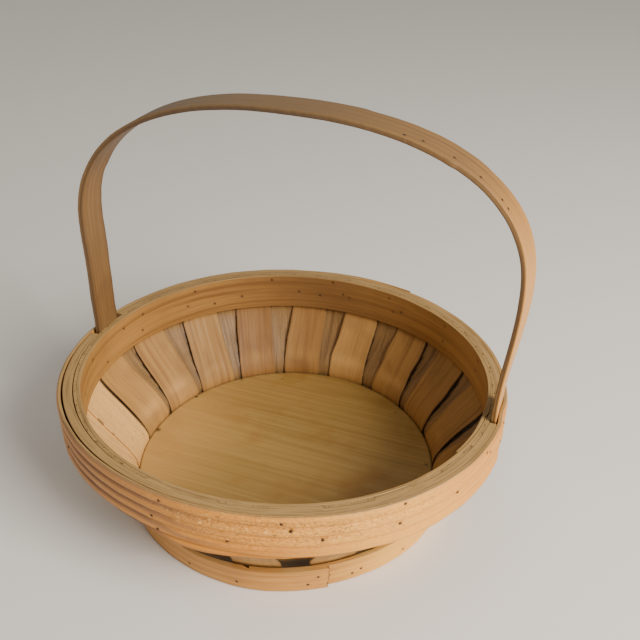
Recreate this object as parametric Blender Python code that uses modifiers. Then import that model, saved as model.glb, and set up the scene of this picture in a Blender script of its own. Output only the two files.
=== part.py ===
"""A round splint basket with a bent wooden handle, in metres with +Z up.

The basket stands on its foot hoop, its axis is Z and its handle spans X. Thin staves run
up from a wooden floor board to the rim, and cover strips close most of the gaps behind
them. At the rim the staves and the handle's legs are held between two hoops and nailed.
"""

import math
from typing import NamedTuple

import bmesh
import bpy
from mathutils import Matrix, Vector

# Space left between pieces that touch on the real basket
GAP = 0.0003

# Floor board and the foot hoop around it
BOARD_RADIUS = 0.1102
BOARD_THICKNESS = 0.008
BOARD_LIFT = 0.002
BOARD_EDGE = 0.0006
FOOT_HEIGHT = 0.020
FOOT_THICKNESS = 0.0018
FOOT_EASE = 0.0006
FOOT_FLARE = 0.0022
FOOT_LAP = 0.050
FOOT_TIP = math.radians(-55)
FOOT_SPRING = 0.004
FOOT_SPRING_MIDDLE = math.radians(-10)
FOOT_SPRING_SPAN = math.radians(55)

# Rim: its oval is how far the radius at X exceeds the mean, as a share
RIM_HEIGHT = 0.094
RIM_RADIUS = 0.1395
RIM_OVAL = 0.041
RIM_STEP = 0.0005
INNER_HOOP_HEIGHT = 0.030
INNER_HOOP_THICKNESS = 0.0022
INNER_HOOP_END = 0.0008
INNER_HOOP_LAP = 0.040
INNER_HOOP_TIP = math.radians(-18)
OUTER_HOOP_HEIGHT = 0.0315
OUTER_HOOP_THICKNESS = 0.0032
OUTER_HOOP_END = 0.0012
OUTER_HOOP_LAP = 0.045
OUTER_HOOP_TIP = math.radians(68.4)
OUTER_HOOP_SPRING = 0.0035
OUTER_HOOP_SPRING_MIDDLE = math.radians(-148)
OUTER_HOOP_SPRING_SPAN = math.radians(55)
GROOVES = 3
GROOVE_DEPTH = 0.0005
GROOVE_HALF_WIDTH = 0.0009

# Staves and the curve of the wall
STAVE_WIDTH = 0.031
STAVE_THICKNESS = 0.0009
STAVE_LIFT = 0.001
STRIP_WIDTH = 0.030
STRIP_THICKNESS = 0.0009
STRIP_BOW = 0.0024
STRIP_SHIFT = 0.0025
FLARE_START = 0.002
FLARE_END = 0.0005
LOW_PULL = 0.012
HIGH_PULL = 0.007

# Handle: a strap that stands a little behind the middle and bulges more at +X
HANDLE_TOP = 0.2818
HANDLE_WIDTH = 0.0245
HANDLE_THICKNESS = 0.0036
HANDLE_ROUNDING = 0.0006
HANDLE_CROWN = 0.0055
HANDLE_SET_BACK = 0.004
HANDLE_TWIST = math.radians(6)
HANDLE_TWIST_HEIGHT = 0.250
LEG_LIFT = 0.002
LEG_CLEARANCE = 0.004
RIGHT_SPAN = 0.1568
RIGHT_WIDEST = 0.1832
RIGHT_POWER = 2.4
LEFT_SPAN = 0.1479
LEFT_WIDEST = 0.1747
LEFT_POWER = 2.3


class Side(NamedTuple):
    """One side of the strap: the reach and height of its widest point, and its arch's power."""

    span: float
    widest: float
    power: float


RIGHT_SIDE = Side(RIGHT_SPAN, RIGHT_WIDEST, RIGHT_POWER)
LEFT_SIDE = Side(LEFT_SPAN, LEFT_WIDEST, LEFT_POWER)

# Nails
NAIL_SHANK_RADIUS = 0.0006
NAIL_HEAD_RADIUS = 0.0011
NAIL_HEAD_THICKNESS = 0.0005
NAIL_POINT = 0.0012
NAIL_COVER = 0.0007
BOARD_NAIL_BITE = 0.008
LEG_NAIL_SPREAD = 0.005

# Mesh density and the merge distance
TURN_STEPS = 72
FLARE_STEPS = 6
STAVE_STEPS = 3
STRIP_STEPS = 2
FLANK_STEPS = 5
ARCH_STEPS = 18
NAIL_STEPS = 8
MERGE = 0.00001


class Stave(NamedTuple):
    """One stave.

    The share is its part of the free length on its side of the handle, left as a gap after
    it. The lean is how many degrees its top stands on from its foot. The strip behind that
    gap hugs this stave, the next one or both, or the gap is open.
    """

    share: float
    lean: float
    strip: str


# Numbers and azimuths of the staves by the handle's legs, which the others are spread between
LEFT_STAVE = 2
LEFT_STAVE_AZIMUTH = math.radians(181.056)
RIGHT_STAVE = 11
RIGHT_STAVE_AZIMUTH = math.radians(6.61)

# Staves in order of falling azimuth, from the one in front of the left leg's
STAVES = (
    Stave(0.7, -1.9, "both"),
    Stave(1.8, 0.8, "this"),
    Stave(2.3, 0.5, "this"),
    Stave(3.4, -1.1, "this"),
    Stave(3.7, -1.1, "this"),
    Stave(4.5, -2.1, "this"),
    Stave(5.6, -1.5, "both"),
    Stave(3.7, -1.2, "next"),
    Stave(3.5, -0.7, "next"),
    Stave(2.6, 0.0, "next"),
    Stave(1.8, 0.0, "both"),
    Stave(2.3, 0.0, "both"),
    Stave(6.1, 0.0, "open"),
    Stave(9.6, 0.0, "open"),
    Stave(17.1, 0.0, "open"),
    Stave(1.6, 0.0, "both"),
    Stave(1.1, 0.0, "both"),
    Stave(2.4, 0.0, "both"),
)

# Nails in the foot hoop: a stave's number, and how far they are from the stave's middle
FOOT_NAILS = (
    (16, 0.0170),
    (15, -0.0117),
    (14, -0.0170),
    (14, 0.0115),
    (13, 0.0070),
    (10, 0.0100),
    (7, 0.0100),
    (4, 0.0100),
    (1, -0.0100),
)

# Nails through the rim: the same, and their share of the outer hoop's height
RIM_NAILS = (
    (17, -0.0183, 0.40),
    (17, 0.0122, 0.27),
    (15, -0.0079, 0.30),
    (14, -0.0166, 0.43),
    (13, -0.0264, 0.46),
    (13, 0.0135, 0.52),
)

# Heights that follow from the sizes above
FLOOR_TOP = BOARD_LIFT + BOARD_THICKNESS
FLARE_LOW = FLOOR_TOP + FLARE_START
FLARE_HIGH = RIM_HEIGHT - max(INNER_HOOP_HEIGHT, OUTER_HOOP_HEIGHT) - FLARE_END
WALL_THICKNESS = STAVE_THICKNESS + GAP + STRIP_THICKNESS


def mix(low, high, share):
    return low + (high - low) * share


def smooth(share):
    """Eases from 0 to 1, and stays there outside that range."""
    share = min(max(share, 0.0), 1.0)
    return share * share * (3 - 2 * share)


def flare_share(height):
    return (height - FOOT_HEIGHT) / (FLARE_HIGH - FOOT_HEIGHT)


def oval(azimuth, height=RIM_HEIGHT):
    """How much longer than the mean a radius is: round at the foot, oval at the rim."""
    return 1 + RIM_OVAL * smooth(flare_share(height)) * math.cos(2 * azimuth)


def place(azimuth, radius, height):
    """The point at this azimuth, mean radius and height."""
    length = radius * oval(azimuth, height)
    return Vector((length * math.cos(azimuth), length * math.sin(azimuth), height))


class WallPoint(NamedTuple):
    """A point up the staves' inner face, and the direction out of the wall there."""

    radius: float
    height: float
    out: float
    up: float

    def moved(self, offset):
        return self.radius + self.out * offset, self.height + self.up * offset


def flare_point(share):
    """A point on the wall's curve between the floor and the rim."""
    rest = 1 - share
    weights = (rest**3, 3 * share * rest**2, 3 * share**2 * rest, share**3)
    slopes = (-(rest**2), rest * (1 - 3 * share), share * (2 - 3 * share), share**2)
    radii = (BOARD_RADIUS + GAP, BOARD_RADIUS + GAP, RIM_RADIUS, RIM_RADIUS)
    heights = (FLARE_LOW, FLARE_LOW + LOW_PULL, FLARE_HIGH - HIGH_PULL, FLARE_HIGH)
    radius = sum(weight * value for weight, value in zip(weights, radii))
    height = sum(weight * value for weight, value in zip(weights, heights))
    along = Vector(
        (
            sum(slope * value for slope, value in zip(slopes, radii)),
            sum(slope * value for slope, value in zip(slopes, heights)),
        )
    ).normalized()
    return WallPoint(radius, height, along.y, -along.x)


def wall_points():
    """The wall's inner face from the staves' lower ends to their tops."""
    foot = WallPoint(BOARD_RADIUS + GAP, STAVE_LIFT, 1.0, 0.0)
    flare = [flare_point(step / FLARE_STEPS) for step in range(FLARE_STEPS + 1)]
    top = WallPoint(RIM_RADIUS, RIM_HEIGHT - RIM_STEP, 1.0, 0.0)
    return [foot, *flare, top]


def wall_radius(height, offset):
    """The radius that the wall's flat-sided facets reach at a height, this far out."""
    points = [point.moved(offset) for point in wall_points()]
    for (radius, low), (next_radius, high) in zip(points, points[1:]):
        if height <= high:
            return mix(radius, next_radius, (height - low) / (high - low))
    return points[-1][0]


class Hoop(NamedTuple):
    """A strip bent once round with its ends lapped.

    Its back face lies against the wall or the legs, and it grows outward or inward from
    there. The end that shows stops at the tip, and the strip runs from the covered end
    to the tip in the direction of turn. Each end is pared down to end_thickness. Round
    the middle of the spring the hoop stands off its circle, within the span to each side.
    """

    tip: float
    turn: int
    grow: int
    low: float
    high: float
    low_radius: float
    high_radius: float
    thickness: float
    end_thickness: float
    lap: float
    spring: float = 0.0
    spring_middle: float = 0.0
    spring_span: float = 1.0

    @property
    def lap_angle(self):
        return self.lap / self.high_radius

    def back(self, height):
        share = (height - self.low) / (self.high - self.low)
        return mix(self.low_radius, self.high_radius, share)

    def faces(self, along):
        """How far the strip's two faces stand off at this angle from the covered end."""
        turn, lap = 2 * math.pi, self.lap_angle
        rise = (self.end_thickness + GAP) * min(max(1 + (along - turn) / lap, 0), 1)
        pared = (self.thickness - self.end_thickness) * max(along - turn, 0) / lap
        start = (self.thickness - self.end_thickness) * max(1 - along / lap, 0)
        return rise + pared, self.thickness + rise - start

    def azimuth(self, along):
        return self.tip + self.turn * (along - 2 * math.pi - self.lap_angle)

    def sprung(self, azimuth):
        """How far the hoop stands off its circle at this azimuth."""
        away = (azimuth - self.spring_middle + math.pi) % (2 * math.pi) - math.pi
        return self.spring * smooth(1 - abs(away) / self.spring_span)

    def front_radius(self, azimuth, height):
        """The radius of the face that shows, in the direction it grows."""
        along = (self.turn * (azimuth - self.tip)) % (2 * math.pi) + self.lap_angle
        return self.back(height) + self.sprung(azimuth) + self.grow * self.faces(along)[1]

    def stations(self):
        turn = [2 * math.pi * step / TURN_STEPS for step in range(TURN_STEPS + 1)]
        lap_steps = math.ceil(self.lap_angle / turn[1])
        lap = [2 * math.pi + self.lap_angle * (step + 1) / lap_steps for step in range(lap_steps)]
        return turn + lap

    def point(self, along, corner):
        """Corner is (face, height, inset): face 0 is the back, and an inset goes into the wood."""
        face, height, inset = corner
        azimuth = self.azimuth(along)
        offset = self.faces(along)[face] + (inset if face == 0 else -inset)
        radius = self.back(height) + self.sprung(azimuth) + self.grow * offset
        return place(azimuth, radius, height)


def rim_reach(mean_radius, across):
    """How far along X a rim of this mean radius lies, this far off the X axis."""
    azimuth = 0.0
    for _ in range(12):
        azimuth = math.asin(across / (mean_radius * oval(azimuth)))
    return mean_radius * oval(azimuth) * math.cos(azimuth)


# The handle's legs and the ring of space that they need at the rim
LEG_FAR_EDGE = HANDLE_SET_BACK + HANDLE_WIDTH / 2
LEG_NEAR_EDGE = HANDLE_SET_BACK - HANDLE_WIDTH / 2
LEG_CLOSEST = min(max(0.0, LEG_NEAR_EDGE), LEG_FAR_EDGE)
LEG_WIDEST = max(abs(LEG_NEAR_EDGE), abs(LEG_FAR_EDGE))
WALL_OUTSIDE = RIM_RADIUS + WALL_THICKNESS
LEG_INSIDE = rim_reach(WALL_OUTSIDE, LEG_CLOSEST) + GAP
LEG_OUTSIDE = LEG_INSIDE + HANDLE_THICKNESS
LEG_CORNER = Vector((LEG_OUTSIDE, LEG_WIDEST))
OUTER_HOOP_INSIDE = (LEG_CORNER.length + GAP) / oval(math.atan2(LEG_CORNER.y, LEG_CORNER.x))

FOOT_HOOP = Hoop(
    tip=FOOT_TIP,
    turn=1,
    grow=1,
    low=0.0,
    high=FOOT_HEIGHT,
    low_radius=BOARD_RADIUS + GAP + WALL_THICKNESS + GAP + FOOT_EASE,
    high_radius=wall_radius(FOOT_HEIGHT, WALL_THICKNESS) + GAP + FOOT_FLARE,
    thickness=FOOT_THICKNESS,
    end_thickness=FOOT_THICKNESS,
    lap=FOOT_LAP,
    spring=FOOT_SPRING,
    spring_middle=FOOT_SPRING_MIDDLE,
    spring_span=FOOT_SPRING_SPAN,
)
INNER_HOOP = Hoop(
    tip=INNER_HOOP_TIP,
    turn=-1,
    grow=-1,
    low=RIM_HEIGHT - INNER_HOOP_HEIGHT,
    high=RIM_HEIGHT,
    low_radius=RIM_RADIUS - GAP,
    high_radius=RIM_RADIUS - GAP,
    thickness=INNER_HOOP_THICKNESS,
    end_thickness=INNER_HOOP_END,
    lap=INNER_HOOP_LAP,
)
OUTER_HOOP = Hoop(
    tip=OUTER_HOOP_TIP,
    turn=-1,
    grow=1,
    low=RIM_HEIGHT - OUTER_HOOP_HEIGHT,
    high=RIM_HEIGHT,
    low_radius=OUTER_HOOP_INSIDE,
    high_radius=OUTER_HOOP_INSIDE,
    thickness=OUTER_HOOP_THICKNESS,
    end_thickness=OUTER_HOOP_END,
    lap=OUTER_HOOP_LAP,
    spring=OUTER_HOOP_SPRING,
    spring_middle=OUTER_HOOP_SPRING_MIDDLE,
    spring_span=OUTER_HOOP_SPRING_SPAN,
)


def clear_scene():
    for scene_object in list(bpy.data.objects):
        bpy.data.objects.remove(scene_object)


def new_collection(name):
    collection = bpy.data.collections.new(name)
    bpy.context.scene.collection.children.link(collection)
    return collection


def new_material(name, colour, roughness, metallic=0.0):
    material = bpy.data.materials.new(name)
    material.use_nodes = True
    shader = material.node_tree.nodes["Principled BSDF"]
    shader.inputs["Base Color"].default_value = (*colour, 1.0)
    shader.inputs["Roughness"].default_value = roughness
    shader.inputs["Metallic"].default_value = metallic
    return material


def new_object(name, bm, collection, material=None):
    """Ends the bmesh as a smooth-shaded object with its creases kept."""
    mesh = bpy.data.meshes.new(name)
    bm.to_mesh(mesh)
    bm.free()
    mesh.shade_smooth()
    mesh.set_sharp_from_angle(angle=math.radians(35))
    if material:
        mesh.materials.append(material)
    result = bpy.data.objects.new(name, mesh)
    collection.objects.link(result)
    return result


def mapped_grid(columns, rows, point_of):
    """A grid whose vertex in this column and row goes to point_of(column, row)."""
    bm = bmesh.new()
    bmesh.ops.create_grid(bm, x_segments=columns, y_segments=rows, size=1.0)
    for vert in bm.verts:
        column = round((vert.co.x + 1) / 2 * columns)
        row = round((vert.co.y + 1) / 2 * rows)
        vert.co = point_of(column, row)
    return bm


def swept_strip(stations, corners, point_of):
    """A closed strip: the loop of corners carried past the stations, with both ends capped."""
    bm = mapped_grid(
        len(stations) - 1,
        len(corners),
        lambda column, row: point_of(stations[column], corners[row % len(corners)]),
    )
    bmesh.ops.remove_doubles(bm, verts=bm.verts, dist=MERGE)
    bmesh.ops.holes_fill(bm, edges=[edge for edge in bm.edges if edge.is_boundary])
    bmesh.ops.recalc_face_normals(bm, faces=bm.faces)
    return bm


def feet_azimuths(staves, start, end):
    """Floor azimuths of a run of staves, whose last gap ends at the stave at the end."""
    pitch = STAVE_WIDTH / (BOARD_RADIUS + GAP)
    free = start - end - len(staves) * pitch
    shares = sum(stave.share for stave in staves)
    feet = [start]
    for stave in staves[:-1]:
        feet.append(feet[-1] - pitch - free * stave.share / shares)
    return feet


def stave_azimuths():
    """(azimuth at the floor, azimuth at the rim) of each stave's middle."""
    turn = 2 * math.pi
    before, back = LEFT_STAVE - 1, RIGHT_STAVE - 1
    back_feet = feet_azimuths(STAVES[before:back], LEFT_STAVE_AZIMUTH, RIGHT_STAVE_AZIMUTH)
    front = STAVES[back:] + STAVES[:before]
    front_feet = feet_azimuths(front, RIGHT_STAVE_AZIMUTH, LEFT_STAVE_AZIMUTH - turn)
    first_feet = [foot + turn for foot in front_feet[len(STAVES) - back :]]
    feet = first_feet + back_feet + front_feet[: len(STAVES) - back]
    return [(foot, foot + math.radians(stave.lean)) for foot, stave in zip(feet, STAVES)]


def wall_sheet(name, azimuths, width, steps, offset, bows, thickness, collection, material):
    """A thin piece that follows the wall, this far out of the staves' inner face.

    The bows are how far its edges at the lower and the higher azimuth stand off half way up.
    """
    points = wall_points()
    low, high = azimuths

    def point_of(column, row):
        share = min(max(flare_share(points[row].height), 0.0), 1.0)
        bow = mix(*bows, column / steps) * math.sin(math.pi * share)
        radius, height = points[row].moved(offset + bow)
        across = width * (column / steps - 0.5)
        return place(mix(low, high, smooth(share)) + across / radius, radius, height)

    sheet = new_object(name, mapped_grid(steps, len(points) - 1, point_of), collection, material)
    solidify = sheet.modifiers.new("thickness", "SOLIDIFY")
    solidify.thickness = thickness
    solidify.offset = 1.0
    solidify.use_even_offset = True
    return sheet


def add_staves(collection, material):
    return [
        wall_sheet(
            f"stave_{number:02d}",
            azimuths,
            STAVE_WIDTH,
            STAVE_STEPS,
            0.0,
            (0.0, 0.0),
            STAVE_THICKNESS,
            collection,
            material,
        )
        for number, azimuths in enumerate(stave_azimuths(), 1)
    ]


def strip_azimuths(hugs, this, following):
    """Floor and rim azimuths of the strip behind the gap between a stave and the next."""
    turn = 2 * math.pi if following[0] > this[0] else 0.0
    low = (this[0] + following[0] - turn) / 2
    high = (this[1] + following[1] - turn) / 2
    shift = {"this": 1, "next": -1, "both": 0}[hugs]
    return low, high + shift * STRIP_SHIFT / RIM_RADIUS


def add_cover_strips(collection, material):
    azimuths = stave_azimuths()
    strips = []
    for index, stave in enumerate(STAVES):
        if stave.strip == "open":
            continue
        following = azimuths[(index + 1) % len(STAVES)]
        bows = {"this": (STRIP_BOW, 0.0), "next": (0.0, STRIP_BOW), "both": (STRIP_BOW / 2,) * 2}
        strips.append(
            wall_sheet(
                f"cover_strip_{len(strips) + 1:02d}",
                strip_azimuths(stave.strip, azimuths[index], following),
                STRIP_WIDTH,
                STRIP_STEPS,
                STAVE_THICKNESS + GAP,
                bows[stave.strip],
                STRIP_THICKNESS,
                collection,
                material,
            )
        )
    return strips


def plain_section(hoop, rounding):
    """A flat strip with the edges of its front face eased."""
    return (
        (0, hoop.low, 0.0),
        (1, hoop.low, rounding),
        (1, hoop.low + rounding, 0.0),
        (1, hoop.high - rounding, 0.0),
        (1, hoop.high, rounding),
        (0, hoop.high, 0.0),
    )


def grooved_section(hoop):
    """A strip whose front face has level grooves between eased edges."""
    edge = GROOVE_HALF_WIDTH
    front = [(1, hoop.low, GROOVE_DEPTH), (1, hoop.low + edge, 0.0)]
    for groove in range(1, GROOVES + 1):
        height = mix(hoop.low, hoop.high, groove / (GROOVES + 1))
        front.append((1, height - GROOVE_HALF_WIDTH, 0.0))
        front.append((1, height, GROOVE_DEPTH))
        front.append((1, height + GROOVE_HALF_WIDTH, 0.0))
    front += [(1, hoop.high - edge, 0.0), (1, hoop.high, GROOVE_DEPTH)]
    return ((0, hoop.low, 0.0), *front, (0, hoop.high, 0.0))


def add_hoop(name, hoop, section, collection, material):
    return new_object(
        name, swept_strip(hoop.stations(), section, hoop.point), collection, material
    )


def add_fillers(collection, material):
    """The two strips that fill the rim between the handle's legs, front and back."""
    inside = WALL_OUTSIDE + GAP
    outside = OUTER_HOOP_INSIDE - GAP
    low = RIM_HEIGHT - OUTER_HOOP_HEIGHT + LEG_LIFT
    high = RIM_HEIGHT - RIM_STEP
    corners = ((inside, low), (outside, low), (outside, high), (inside, high))
    back = math.asin((LEG_FAR_EDGE + LEG_CLEARANCE) / inside)
    front = math.asin((LEG_NEAR_EDGE - LEG_CLEARANCE) / inside)
    fillers = []
    for name, start, end in (
        ("rim_filler_back", back, math.pi - back),
        ("rim_filler_front", front, -math.pi - front),
    ):
        steps = math.ceil(abs(end - start) / (2 * math.pi) * TURN_STEPS)
        stations = [mix(start, end, step / steps) for step in range(steps + 1)]
        strip = swept_strip(stations, corners, lambda azimuth, corner: place(azimuth, *corner))
        fillers.append(new_object(name, strip, collection, material))
    return fillers


def handle_side(direction, side):
    """The strap's middle from a leg's foot up to the crown, at +X for direction 1."""
    leg = LEG_INSIDE + HANDLE_THICKNESS / 2
    foot = RIM_HEIGHT - OUTER_HOOP_HEIGHT + LEG_LIFT
    crown = HANDLE_TOP - HANDLE_THICKNESS / 2
    line = [Vector((direction * leg, foot))]
    for step in range(FLANK_STEPS):
        share = step / FLANK_STEPS
        across = direction * mix(leg, side.span, smooth(share))
        line.append(Vector((across, mix(RIM_HEIGHT, side.widest, share))))
    for step in range(ARCH_STEPS + 1):
        angle = math.pi / 2 * step / ARCH_STEPS
        reach = max(math.cos(angle), 0.0) ** (2 / side.power)
        rise = math.sin(angle) ** (2 / side.power)
        across = mix(HANDLE_CROWN, direction * side.span, reach)
        line.append(Vector((across, mix(side.widest, crown, rise))))
    return line


def handle_line():
    """The strap's middle in the XZ plane, from the leg at +X over the crown to the one at -X."""
    return handle_side(1, RIGHT_SIDE) + handle_side(-1, LEFT_SIDE)[-2::-1]


def handle_twist(middle):
    """How far the strap is turned about its middle line, which only happens on the right."""
    share = (middle.y - RIM_HEIGHT) / (HANDLE_TWIST_HEIGHT - RIM_HEIGHT)
    if middle.x < 0 or not 0 < share < 1:
        return 0.0
    return HANDLE_TWIST * math.sin(math.pi * share)


def add_handle(collection, material):
    line = handle_line()
    thick, wide, eased = HANDLE_THICKNESS / 2, HANDLE_WIDTH / 2, HANDLE_ROUNDING
    corners = (
        (thick, wide - eased),
        (thick - eased, wide),
        (eased - thick, wide),
        (-thick, wide - eased),
        (-thick, eased - wide),
        (eased - thick, -wide),
        (thick - eased, -wide),
        (thick, eased - wide),
    )

    def point_of(index, corner):
        before = line[max(index - 1, 0)]
        after = line[min(index + 1, len(line) - 1)]
        along = (after - before).normalized()
        outward, across = Matrix.Rotation(-handle_twist(line[index]), 2) @ Vector(corner)
        middle = line[index] + Vector((along.y, -along.x)) * outward
        return Vector((middle.x, HANDLE_SET_BACK + across, middle.y))

    strap = swept_strip(range(len(line)), corners, point_of)
    return new_object("handle", strap, collection, material)


def add_floor_board(collection, material):
    bm = bmesh.new()
    bmesh.ops.create_cone(
        bm,
        cap_ends=True,
        segments=TURN_STEPS,
        radius1=BOARD_RADIUS,
        radius2=BOARD_RADIUS,
        depth=BOARD_THICKNESS,
    )
    board = new_object("floor_board", bm, collection, material)
    board.location.z = BOARD_LIFT + BOARD_THICKNESS / 2
    bevel = board.modifiers.new("edge", "BEVEL")
    bevel.width = BOARD_EDGE
    bevel.segments = 1
    return board


class Nail(NamedTuple):
    """A nail driven level towards the basket's axis."""

    name: str
    azimuth: float
    height: float
    surface: float
    length: float


def rim_nail(name, azimuth, height):
    """A nail through the whole rim, whose point stays in the inner hoop."""
    surface = OUTER_HOOP.front_radius(azimuth, height)
    inside = INNER_HOOP.front_radius(azimuth, height)
    length = (surface - inside) * oval(azimuth) - NAIL_COVER
    return Nail(name, azimuth, height, surface * oval(azimuth), length)


def ridge_height(ridge):
    """The middle of one of the outer hoop's ridges, counted from below."""
    return mix(OUTER_HOOP.low, OUTER_HOOP.high, (ridge + 0.5) / (GROOVES + 1))


def all_nails():
    nails = []
    azimuths = stave_azimuths()
    board_middle = BOARD_LIFT + BOARD_THICKNESS / 2
    for number, (stave, offset) in enumerate(FOOT_NAILS, 1):
        azimuth = azimuths[stave - 1][0] + offset / (BOARD_RADIUS + GAP)
        surface = FOOT_HOOP.front_radius(azimuth, board_middle)
        length = surface - BOARD_RADIUS + BOARD_NAIL_BITE
        nails.append(Nail(f"foot_nail_{number}", azimuth, board_middle, surface, length))
    for number, (stave, offset, share) in enumerate(RIM_NAILS, 1):
        azimuth = azimuths[stave - 1][1] + offset / RIM_RADIUS
        height = mix(OUTER_HOOP.low, OUTER_HOOP.high, share)
        nails.append(rim_nail(f"rim_nail_{number}", azimuth, height))
    for side in ("right", "left"):
        for number, ridge, spread in ((1, 2, LEG_NAIL_SPREAD), (2, 1, -LEG_NAIL_SPREAD)):
            offset = math.asin((HANDLE_SET_BACK + spread) / LEG_OUTSIDE)
            azimuth = offset if side == "right" else math.pi - offset
            nails.append(rim_nail(f"handle_nail_{side}_{number}", azimuth, ridge_height(ridge)))
    return nails


def nail_profile(nail, margin):
    """The nail's outline from the middle of its head to its point, or its hole's with a margin."""
    head, shank = NAIL_HEAD_RADIUS + margin, NAIL_SHANK_RADIUS + margin
    under = -NAIL_HEAD_THICKNESS - GAP - margin
    top = 2 * GROOVE_DEPTH if margin else -GAP
    return (
        (0.0, top),
        (head, top),
        (head, under),
        (shank, under),
        (shank, -nail.length + NAIL_POINT),
        (0.0, -nail.length - margin),
    )


def turned(name, profile, nail, collection, material=None):
    """The profile turned about the nail's axis and set in its place."""
    bm = bmesh.new()
    verts = [bm.verts.new((radius, 0.0, height)) for radius, height in profile]
    for start, end in zip(verts, verts[1:]):
        bm.edges.new((start, end))
    result = new_object(name, bm, collection, material)
    result.location = (
        nail.surface * math.cos(nail.azimuth),
        nail.surface * math.sin(nail.azimuth),
        nail.height,
    )
    result.rotation_euler = (0.0, math.pi / 2, nail.azimuth)
    screw = result.modifiers.new("turn", "SCREW")
    screw.steps = NAIL_STEPS
    screw.render_steps = NAIL_STEPS
    screw.use_merge_vertices = True
    screw.merge_threshold = MERGE
    return result


def add_nails(pieces, collection, cutters, material):
    """The nails, and their holes in every other piece."""
    for nail in all_nails():
        turned(nail.name, nail_profile(nail, 0.0), nail, collection, material)
        hole = turned(f"hole_for_{nail.name}", nail_profile(nail, GAP), nail, cutters)
        hole.hide_render = True
        hole.display_type = "WIRE"
    for piece in pieces:
        holes = piece.modifiers.new("nail holes", "BOOLEAN")
        holes.operation = "DIFFERENCE"
        holes.solver = "EXACT"
        holes.operand_type = "COLLECTION"
        holes.collection = cutters


def main():
    clear_scene()
    basket = new_collection("wooden_basket")
    cutters = new_collection("cutters")
    cutters.hide_render = True
    stave_wood = new_material("stave_wood", (0.52, 0.36, 0.19), 0.6)
    strip_wood = new_material("strip_wood", (0.40, 0.28, 0.16), 0.65)
    pieces = [add_floor_board(basket, new_material("board_wood", (0.48, 0.34, 0.16), 0.5))]
    pieces += add_staves(basket, stave_wood)
    pieces += add_cover_strips(basket, strip_wood)
    pieces += add_fillers(basket, new_material("filler_wood", (0.38, 0.28, 0.17), 0.65))
    pieces.append(add_handle(basket, new_material("handle_wood", (0.36, 0.22, 0.10), 0.55)))
    for name, hoop, section, colour in (
        ("foot_hoop", FOOT_HOOP, plain_section(FOOT_HOOP, FOOT_THICKNESS / 4), (0.42, 0.26, 0.11)),
        (
            "inner_rim_hoop",
            INNER_HOOP,
            plain_section(INNER_HOOP, INNER_HOOP_END / 2),
            (0.42, 0.26, 0.12),
        ),
        ("outer_rim_hoop", OUTER_HOOP, grooved_section(OUTER_HOOP), (0.50, 0.33, 0.17)),
    ):
        material = new_material(name.replace("hoop", "wood"), colour, 0.55)
        pieces.append(add_hoop(name, hoop, section, basket, material))
    iron = new_material("nail_iron", (0.05, 0.04, 0.035), 0.6, 0.8)
    add_nails(pieces, basket, cutters, iron)


main()
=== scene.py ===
"""Looks of a round splint basket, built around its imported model.

Each piece of wood is a closed strip: a section carried along a path, worked out as whole
numpy arrays in the frame's own metres. The section's own directions go with the mesh as the
attribute "grain" (along the fibres, across them and through the thickness), and every wood
finish draws its figure from that, so the grain runs the way the piece was cut.
"""

import logging
import math
from collections.abc import Sequence
from dataclasses import dataclass, field
from enum import Enum

import bpy
import numpy as np
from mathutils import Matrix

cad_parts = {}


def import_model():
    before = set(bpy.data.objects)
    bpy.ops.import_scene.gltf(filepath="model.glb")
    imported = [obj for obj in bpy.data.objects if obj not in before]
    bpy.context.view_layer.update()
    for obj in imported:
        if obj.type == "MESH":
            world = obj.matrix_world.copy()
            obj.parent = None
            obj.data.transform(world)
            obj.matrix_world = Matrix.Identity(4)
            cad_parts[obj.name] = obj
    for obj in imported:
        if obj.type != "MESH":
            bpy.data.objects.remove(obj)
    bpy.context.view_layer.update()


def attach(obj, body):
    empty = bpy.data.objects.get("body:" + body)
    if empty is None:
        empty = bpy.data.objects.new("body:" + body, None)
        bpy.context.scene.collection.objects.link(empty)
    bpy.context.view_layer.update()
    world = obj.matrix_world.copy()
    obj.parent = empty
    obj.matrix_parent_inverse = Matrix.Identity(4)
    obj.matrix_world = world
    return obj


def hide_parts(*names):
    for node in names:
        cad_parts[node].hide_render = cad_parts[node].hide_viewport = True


LOG = logging.getLogger("basket")
BODY = "root"
TURN = 2 * math.pi
# Air between two touching pieces, in metres, as in the CAD source
GAP = 0.0003
# How far the camera's heading is turned from the basket's own X axis, in degrees
CAMERA_TURN = 21.1
Array = np.ndarray
Faces = list[list[int]]
# A nail: the place of its head, its outward direction and its length
Head = tuple[Array, Array, float]
Values = dict[str | int, object]


def linear(hex_colour: str) -> tuple[float, float, float, float]:
    """Turns an sRGB colour into linear light.

    Args:
        hex_colour: The colour as "#RRGGBB".

    Returns:
        Red, green, blue and an alpha of 1.
    """
    values = [int(hex_colour[i : i + 2], 16) / 255 for i in (1, 3, 5)]
    lit = [v / 12.92 if v <= 0.04045 else ((v + 0.055) / 1.055) ** 2.4 for v in values]
    return (lit[0], lit[1], lit[2], 1.0)


def mix(low: Array | float, high: Array | float, share: Array | float) -> Array:
    """Returns the value this share of the way from low to high."""
    return low + (high - low) * share


def smooth(share: Array) -> Array:
    """Eases from 0 to 1 and stays there outside that range."""
    share = np.clip(share, 0.0, 1.0)
    return share * share * (3 - 2 * share)


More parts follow.
